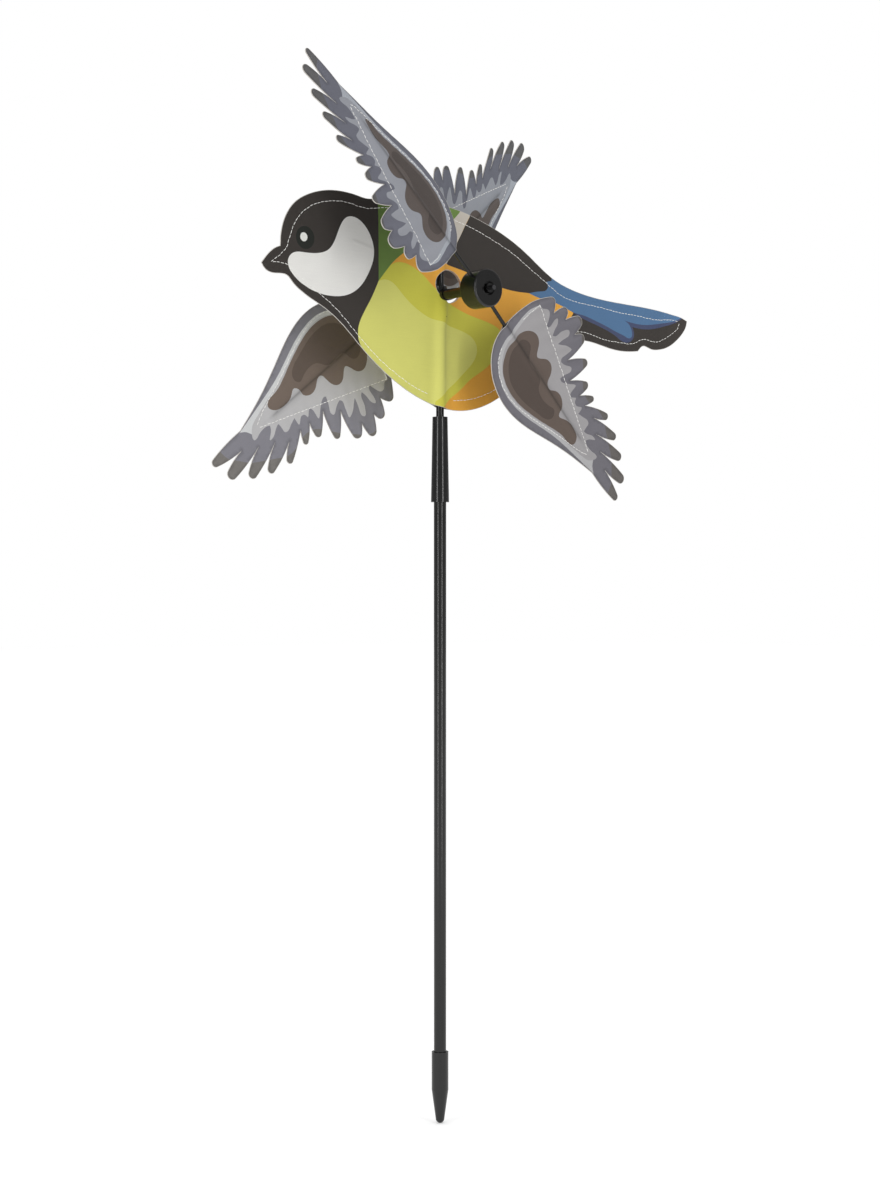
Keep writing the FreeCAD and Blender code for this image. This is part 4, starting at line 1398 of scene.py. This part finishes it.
@dataclass
class Wing:
    """One wing: two printed layers sewn together over a rod."""

    name: str
    pattern: WingPattern
    pose: WingPose
    side: Side
    centre: Vector
    rod_radius: float = 1.2
    rod_tip: float = 134.0
    root: float = 31.0
    reach: float = 156.0
    feather_end: float = 185.0
    slack: float = 0.22
    tent_width: float = 3.1
    tent_room: float = 5.0
    tent_close: float = 1.3
    puff: Puff = Puff(0.4, inset=3.0, rise=6.0, pinch=Band(0.9, 0.0, 2.0))
    pucker: Pucker = Pucker(0.16, reach=3.5, length=8.5)
    wave: Pair = (0.5, 21.0)  # height and length
    loose_ends: Pair = (0.5, 4.6)  # the same for the feather ends
    half_chords: Pair = (35.0, 50.0)  # ahead of the rod and behind it
    bend_start: Pair = (120.0, 67.0)
    # painted shadow of the rod seen through the cloth
    rod_shades: tuple[Band, Band] = (Band(0.34, -0.5, 0.8), Band(0.14, -0.6, 2.4))
    shade_end: Pair = (132.0, 2.0)
    stripe_tone: float = 0.05

    def frame(self) -> Matrix:
        """The pattern's frame: x out along the rod, y to the leading edge, z to the back.

        Returns:
            The frame, standing at the hub's middle.
        """
        pose = self.pose
        direction, lean, turn = map(math.radians, (pose.direction, pose.lean, pose.turn))
        in_plane = Vector((math.cos(direction), 0, math.sin(direction)))
        rod = in_plane * math.cos(lean) + Vector((0, self.side.value * math.sin(lean), 0))
        normal = rod.cross(Vector((math.sin(direction), 0, -math.cos(direction)))).normalized()
        edge = normal.cross(rod) * math.cos(turn) + normal * math.sin(turn)
        rows = Matrix((rod, edge, rod.cross(edge))).transposed().to_4x4()
        return Matrix.Translation(self.centre) @ rows

    def _middle(self, points: np.ndarray) -> np.ndarray:
        """Middle surface: curl of the edges, soft waves, loose feather ends and puckers.

        Args:
            points: Places on the pattern.

        Returns:
            The surface's height at each place.
        """
        x, y = points[:, 0], points[:, 1]
        pose = self.pose
        out = np.clip((x - self.root) / self.reach, 0, 1)
        lead = np.clip(y, 0, None) / self.half_chords[0]
        trail = np.clip(-y, 0, None) / self.half_chords[1]
        height, length = self.wave
        wave = height * np.sin(x / length + pose.phase) * (trail + lead)
        height, length = self.loose_ends
        loose = height * np.sin(x / length + 2 * pose.phase) * np.clip(trail * 2.4 - 0.9, 0, 1)
        pucker = self.pucker.at(*self.pattern.seam_measure(points), pose.phase)
        beyond = np.clip((x - self.rod_tip - 2.0) / (self.feather_end - self.rod_tip), 0, 1)
        tips = pose.tip_curl * (0.5 * beyond ** 1.5 + out ** 2 * trail)
        return -pose.edge_curl * lead ** 1.4 - tips + wave + loose + pucker

    def _laid(self, points: np.ndarray) -> np.ndarray:
        """Where the cloth lies in the wing's plane: its outer end is drawn in by its bend.

        Args:
            points: Places on the pattern.

        Returns:
            Where each lies in the plane.
        """
        start, length = self.bend_start
        share = np.clip((points[:, :1] - start) / length, 0, 1) ** 2
        return points + share * np.array(self.pose.drawn_in) * (-1, 1)

    def _half_gap(self, points: np.ndarray) -> np.ndarray:
        """Half the space between the layers: closed at the edge, tented over the rod.

        Args:
            points: Places on the pattern.

        Returns:
            Half the gap at each place.
        """
        x, y = points[:, 0], points[:, 1]
        edge, _ = nearest(points, self.pattern.edge_path)
        seam, _ = self.pattern.seam_measure(points)
        tent = (self.rod_radius + self.slack) * hump(y, self.tent_width)
        tent *= below(x, self.rod_tip + 1.5, self.tent_close)
        return CLOSED_GAP + self.puff.at(edge, seam) * (1 - hump(y, self.tent_room)) + tent

    def _tint(self, points: np.ndarray) -> np.ndarray:
        """Painted shadow of the rod seen through the cloth, and faint stripes in the feathers.

        Args:
            points: Places on the pattern.

        Returns:
            Share of the ink's brightness at each place.
        """
        x, y = points[:, 0], points[:, 1]
        # painted shadow of the rod seen through the cloth
        shade = sum(band.at(y) for band in self.rod_shades) * below(x, *self.shade_end)
        feathers = np.clip(-y / 25.0 - 0.4, 0, 1)
        stripes = 1 + self.stripe_tone * np.sin(x * 0.55 + y * 0.25) * feathers
        return (1 - shade) * stripes

    def build(self, body: str, spoke: str, materials: Materials) -> list[bpy.types.Object]:
        """Make the wing's layers, sewing and cut edges.

        Args:
            body: The body that the wing turns with.
            spoke: The wing rod's node.
            materials: The materials by name.

        Returns:
            The pieces made.
        """
        place = PartPlace(body, "wing_cloth", self.name + "_", (0.156, 0.091), [spoke])
        return SewnPart(
            self.name, self.pattern.cloth, Drape(self._middle, self._half_gap, self._laid),
            self.pattern.seams, self.frame(), self._tint, {Layer.FRONT: -1, Layer.BACK: 1}, place,
            # the pose's painted light and shade tints the whole wing
            edge_tone=0.72, painted_lighting=self.pose.painted_lighting,
        ).build(materials)


@dataclass
class Rotor:
    """A hub's two wings."""

    side: Side
    poses: dict[str, WingPose]
    pattern: WingPattern

    def build(self, materials: Materials) -> list[bpy.types.Object]:
        """Make both wings.

        Args:
            materials: The materials by name.

        Returns:
            The pieces made.
        """
        name = self.side.name.lower()
        low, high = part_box(name + "_hub")
        centre = (low + high) / 2
        centre.x = 0.0
        pieces = []
        for place, pose in self.poses.items():
            wing = Wing("%s_wing_%s" % (name, place), self.pattern, pose, self.side, centre)
            pieces += wing.build(name + "_rotor", "%s_spoke_%s" % (name, place), materials)
        return pieces


# ------------------------------------------------------------------ the studio
@dataclass
class Studio:
    """Pale floor, white surround, two tall softboxes and the camera; sizes in metres."""

    floor_height: float
    floor_reach: float = 12.0
    camera_place: Triple = (-0.9622, -1.0686, 0.2893)
    camera_ahead: Triple = (0.669, 0.743, 0.0)
    lens: float = 67.3
    surround: float = 0.97
    mirrored_surround: float = 0.4
    softbox_angles: Pair = (-38.0, 38.0)
    softbox_distance: float = 1.9
    softbox_height: float = 0.45
    softbox_size: Pair = (0.2, 1.9)
    softbox_power: float = 12.0

    def build(self) -> None:
        """Make everything in the studio."""
        self._floor()
        self._world()
        for number, angle in enumerate(self.softbox_angles):
            self._softbox("softbox_%d" % number, angle)
        self._camera()

    def _floor(self) -> None:
        """A wide pale floor under the spike."""
        mesh = bpy.data.meshes.new("studio_floor")
        reach, z = self.floor_reach, self.floor_height
        corners = [(-reach, -reach, z), (reach, -reach, z), (reach, reach, z), (-reach, reach, z)]
        mesh.from_pydata(corners, [], [(0, 1, 2, 3)])
        floor = bpy.data.objects.new("studio_floor", mesh)
        bpy.context.scene.collection.objects.link(floor)
        tree = NodeTree(bpy.data.materials.new("pale_floor"))
        place = tree.add("ShaderNodeTexCoord").outputs["Object"]
        pale = tree.add("ShaderNodeRGB").outputs[0]
        pale.default_value = (0.9, 0.9, 0.9, 1)
        colour = tree.tinted(pale, tree.mapped(tree.noise(place, 3.0), 0.985, 1.0))
        mesh.materials.append(tree.finished(tree.add(
            "ShaderNodeBsdfPrincipled", Base_Color=colour, Roughness=0.9, Specular_IOR_Level=0.0,
            Emission_Color=(1, 1, 1, 1), Emission_Strength=0.14,
        )))

    def _world(self) -> None:
        """An even white surround, dimmer where it is mirrored."""
        world = bpy.data.worlds.new("white_surround")
        tree = NodeTree(world)
        rays = tree.add("ShaderNodeLightPath").outputs
        seen = tree.mapped(rays["Is Camera Ray"], self.surround, 1.0)
        mirrored = tree.mapped(rays["Is Glossy Ray"], 1.0, self.mirrored_surround)
        strength = tree.add("ShaderNodeMath", seen, mirrored, operation="MULTIPLY").outputs["Value"]
        light = tree.add("ShaderNodeBackground", Color=(1, 1, 1, 1), Strength=strength)
        tree.add("ShaderNodeOutputWorld", Surface=light.outputs["Background"])
        bpy.context.scene.world = world

    def _softbox(self, name: str, angle: float) -> None:
        """Stand a tall softbox beside the camera, turned to the stake.

        Args:
            name: The light's name.
            angle: Degrees round the stake from the camera.
        """
        back = Vector((-self.camera_ahead[0], -self.camera_ahead[1], 0)).normalized()
        back.rotate(Matrix.Rotation(math.radians(angle), 3, "Z"))
        light = bpy.data.lights.new(name, "AREA")
        light.shape = "RECTANGLE"
        light.size, light.size_y = self.softbox_size
        light.energy = self.softbox_power
        lamp = bpy.data.objects.new(name, light)
        bpy.context.scene.collection.objects.link(lamp)
        lamp.location = back * self.softbox_distance + Vector((0, 0, self.softbox_height))
        lamp.rotation_euler = back.to_track_quat("Z", "Y").to_euler()

    def _camera(self) -> None:
        """Place the camera and choose plain colour."""
        data = bpy.data.cameras.new("camera")
        data.lens = self.lens
        data.sensor_width = 36.0
        data.clip_start = 0.01
        camera = bpy.data.objects.new("camera", data)
        bpy.context.scene.collection.objects.link(camera)
        camera.location = self.camera_place
        camera.rotation_euler = Vector(self.camera_ahead).to_track_quat("-Z", "Y").to_euler()
        bpy.context.scene.camera = camera
        bpy.context.scene.view_settings.view_transform = "Standard"


def dress_frame(frame: dict[str, Any], materials: Materials) -> None:
    """Give every node of a hard slot its finish.

    Args:
        frame: What the frame's loading gave.
        materials: The materials by slot.
    """
    for part in frame["record"]["subparts"]:
        slot = part["material_slot"]
        if slot in HARD_FINISHES:
            mesh = frame["nodes"][part["node"]].data
            mesh.materials.clear()
            mesh.materials.append(materials[slot])
            LOG.info("dressed %s in %s", part["node"], materials[slot].name)


def main() -> None:
    """Build the wind spinner's looks on its frame."""
    logging.basicConfig(level=logging.INFO, format="%(name)s: %(message)s")
    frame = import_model()
    materials = {name: kind.make() for name, kind in (HARD_FINISHES | SOFT_FINISHES).items()}
    dress_frame(frame, materials)
    low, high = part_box("axle_pin")
    made = BirdBody(axle_height=(low.z + high.z) / 2).build(materials)
    pattern = WingPattern()
    for side, poses in ROTOR_POSES.items():
        made += Rotor(side, poses, pattern).build(materials)
    for piece in made:
        LOG.info("made %s with %d corners", piece.name, len(piece.data.vertices))
    Studio(floor_height=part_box("ground_spike")[0].z).build()


if __name__ == "__main__":
    main()
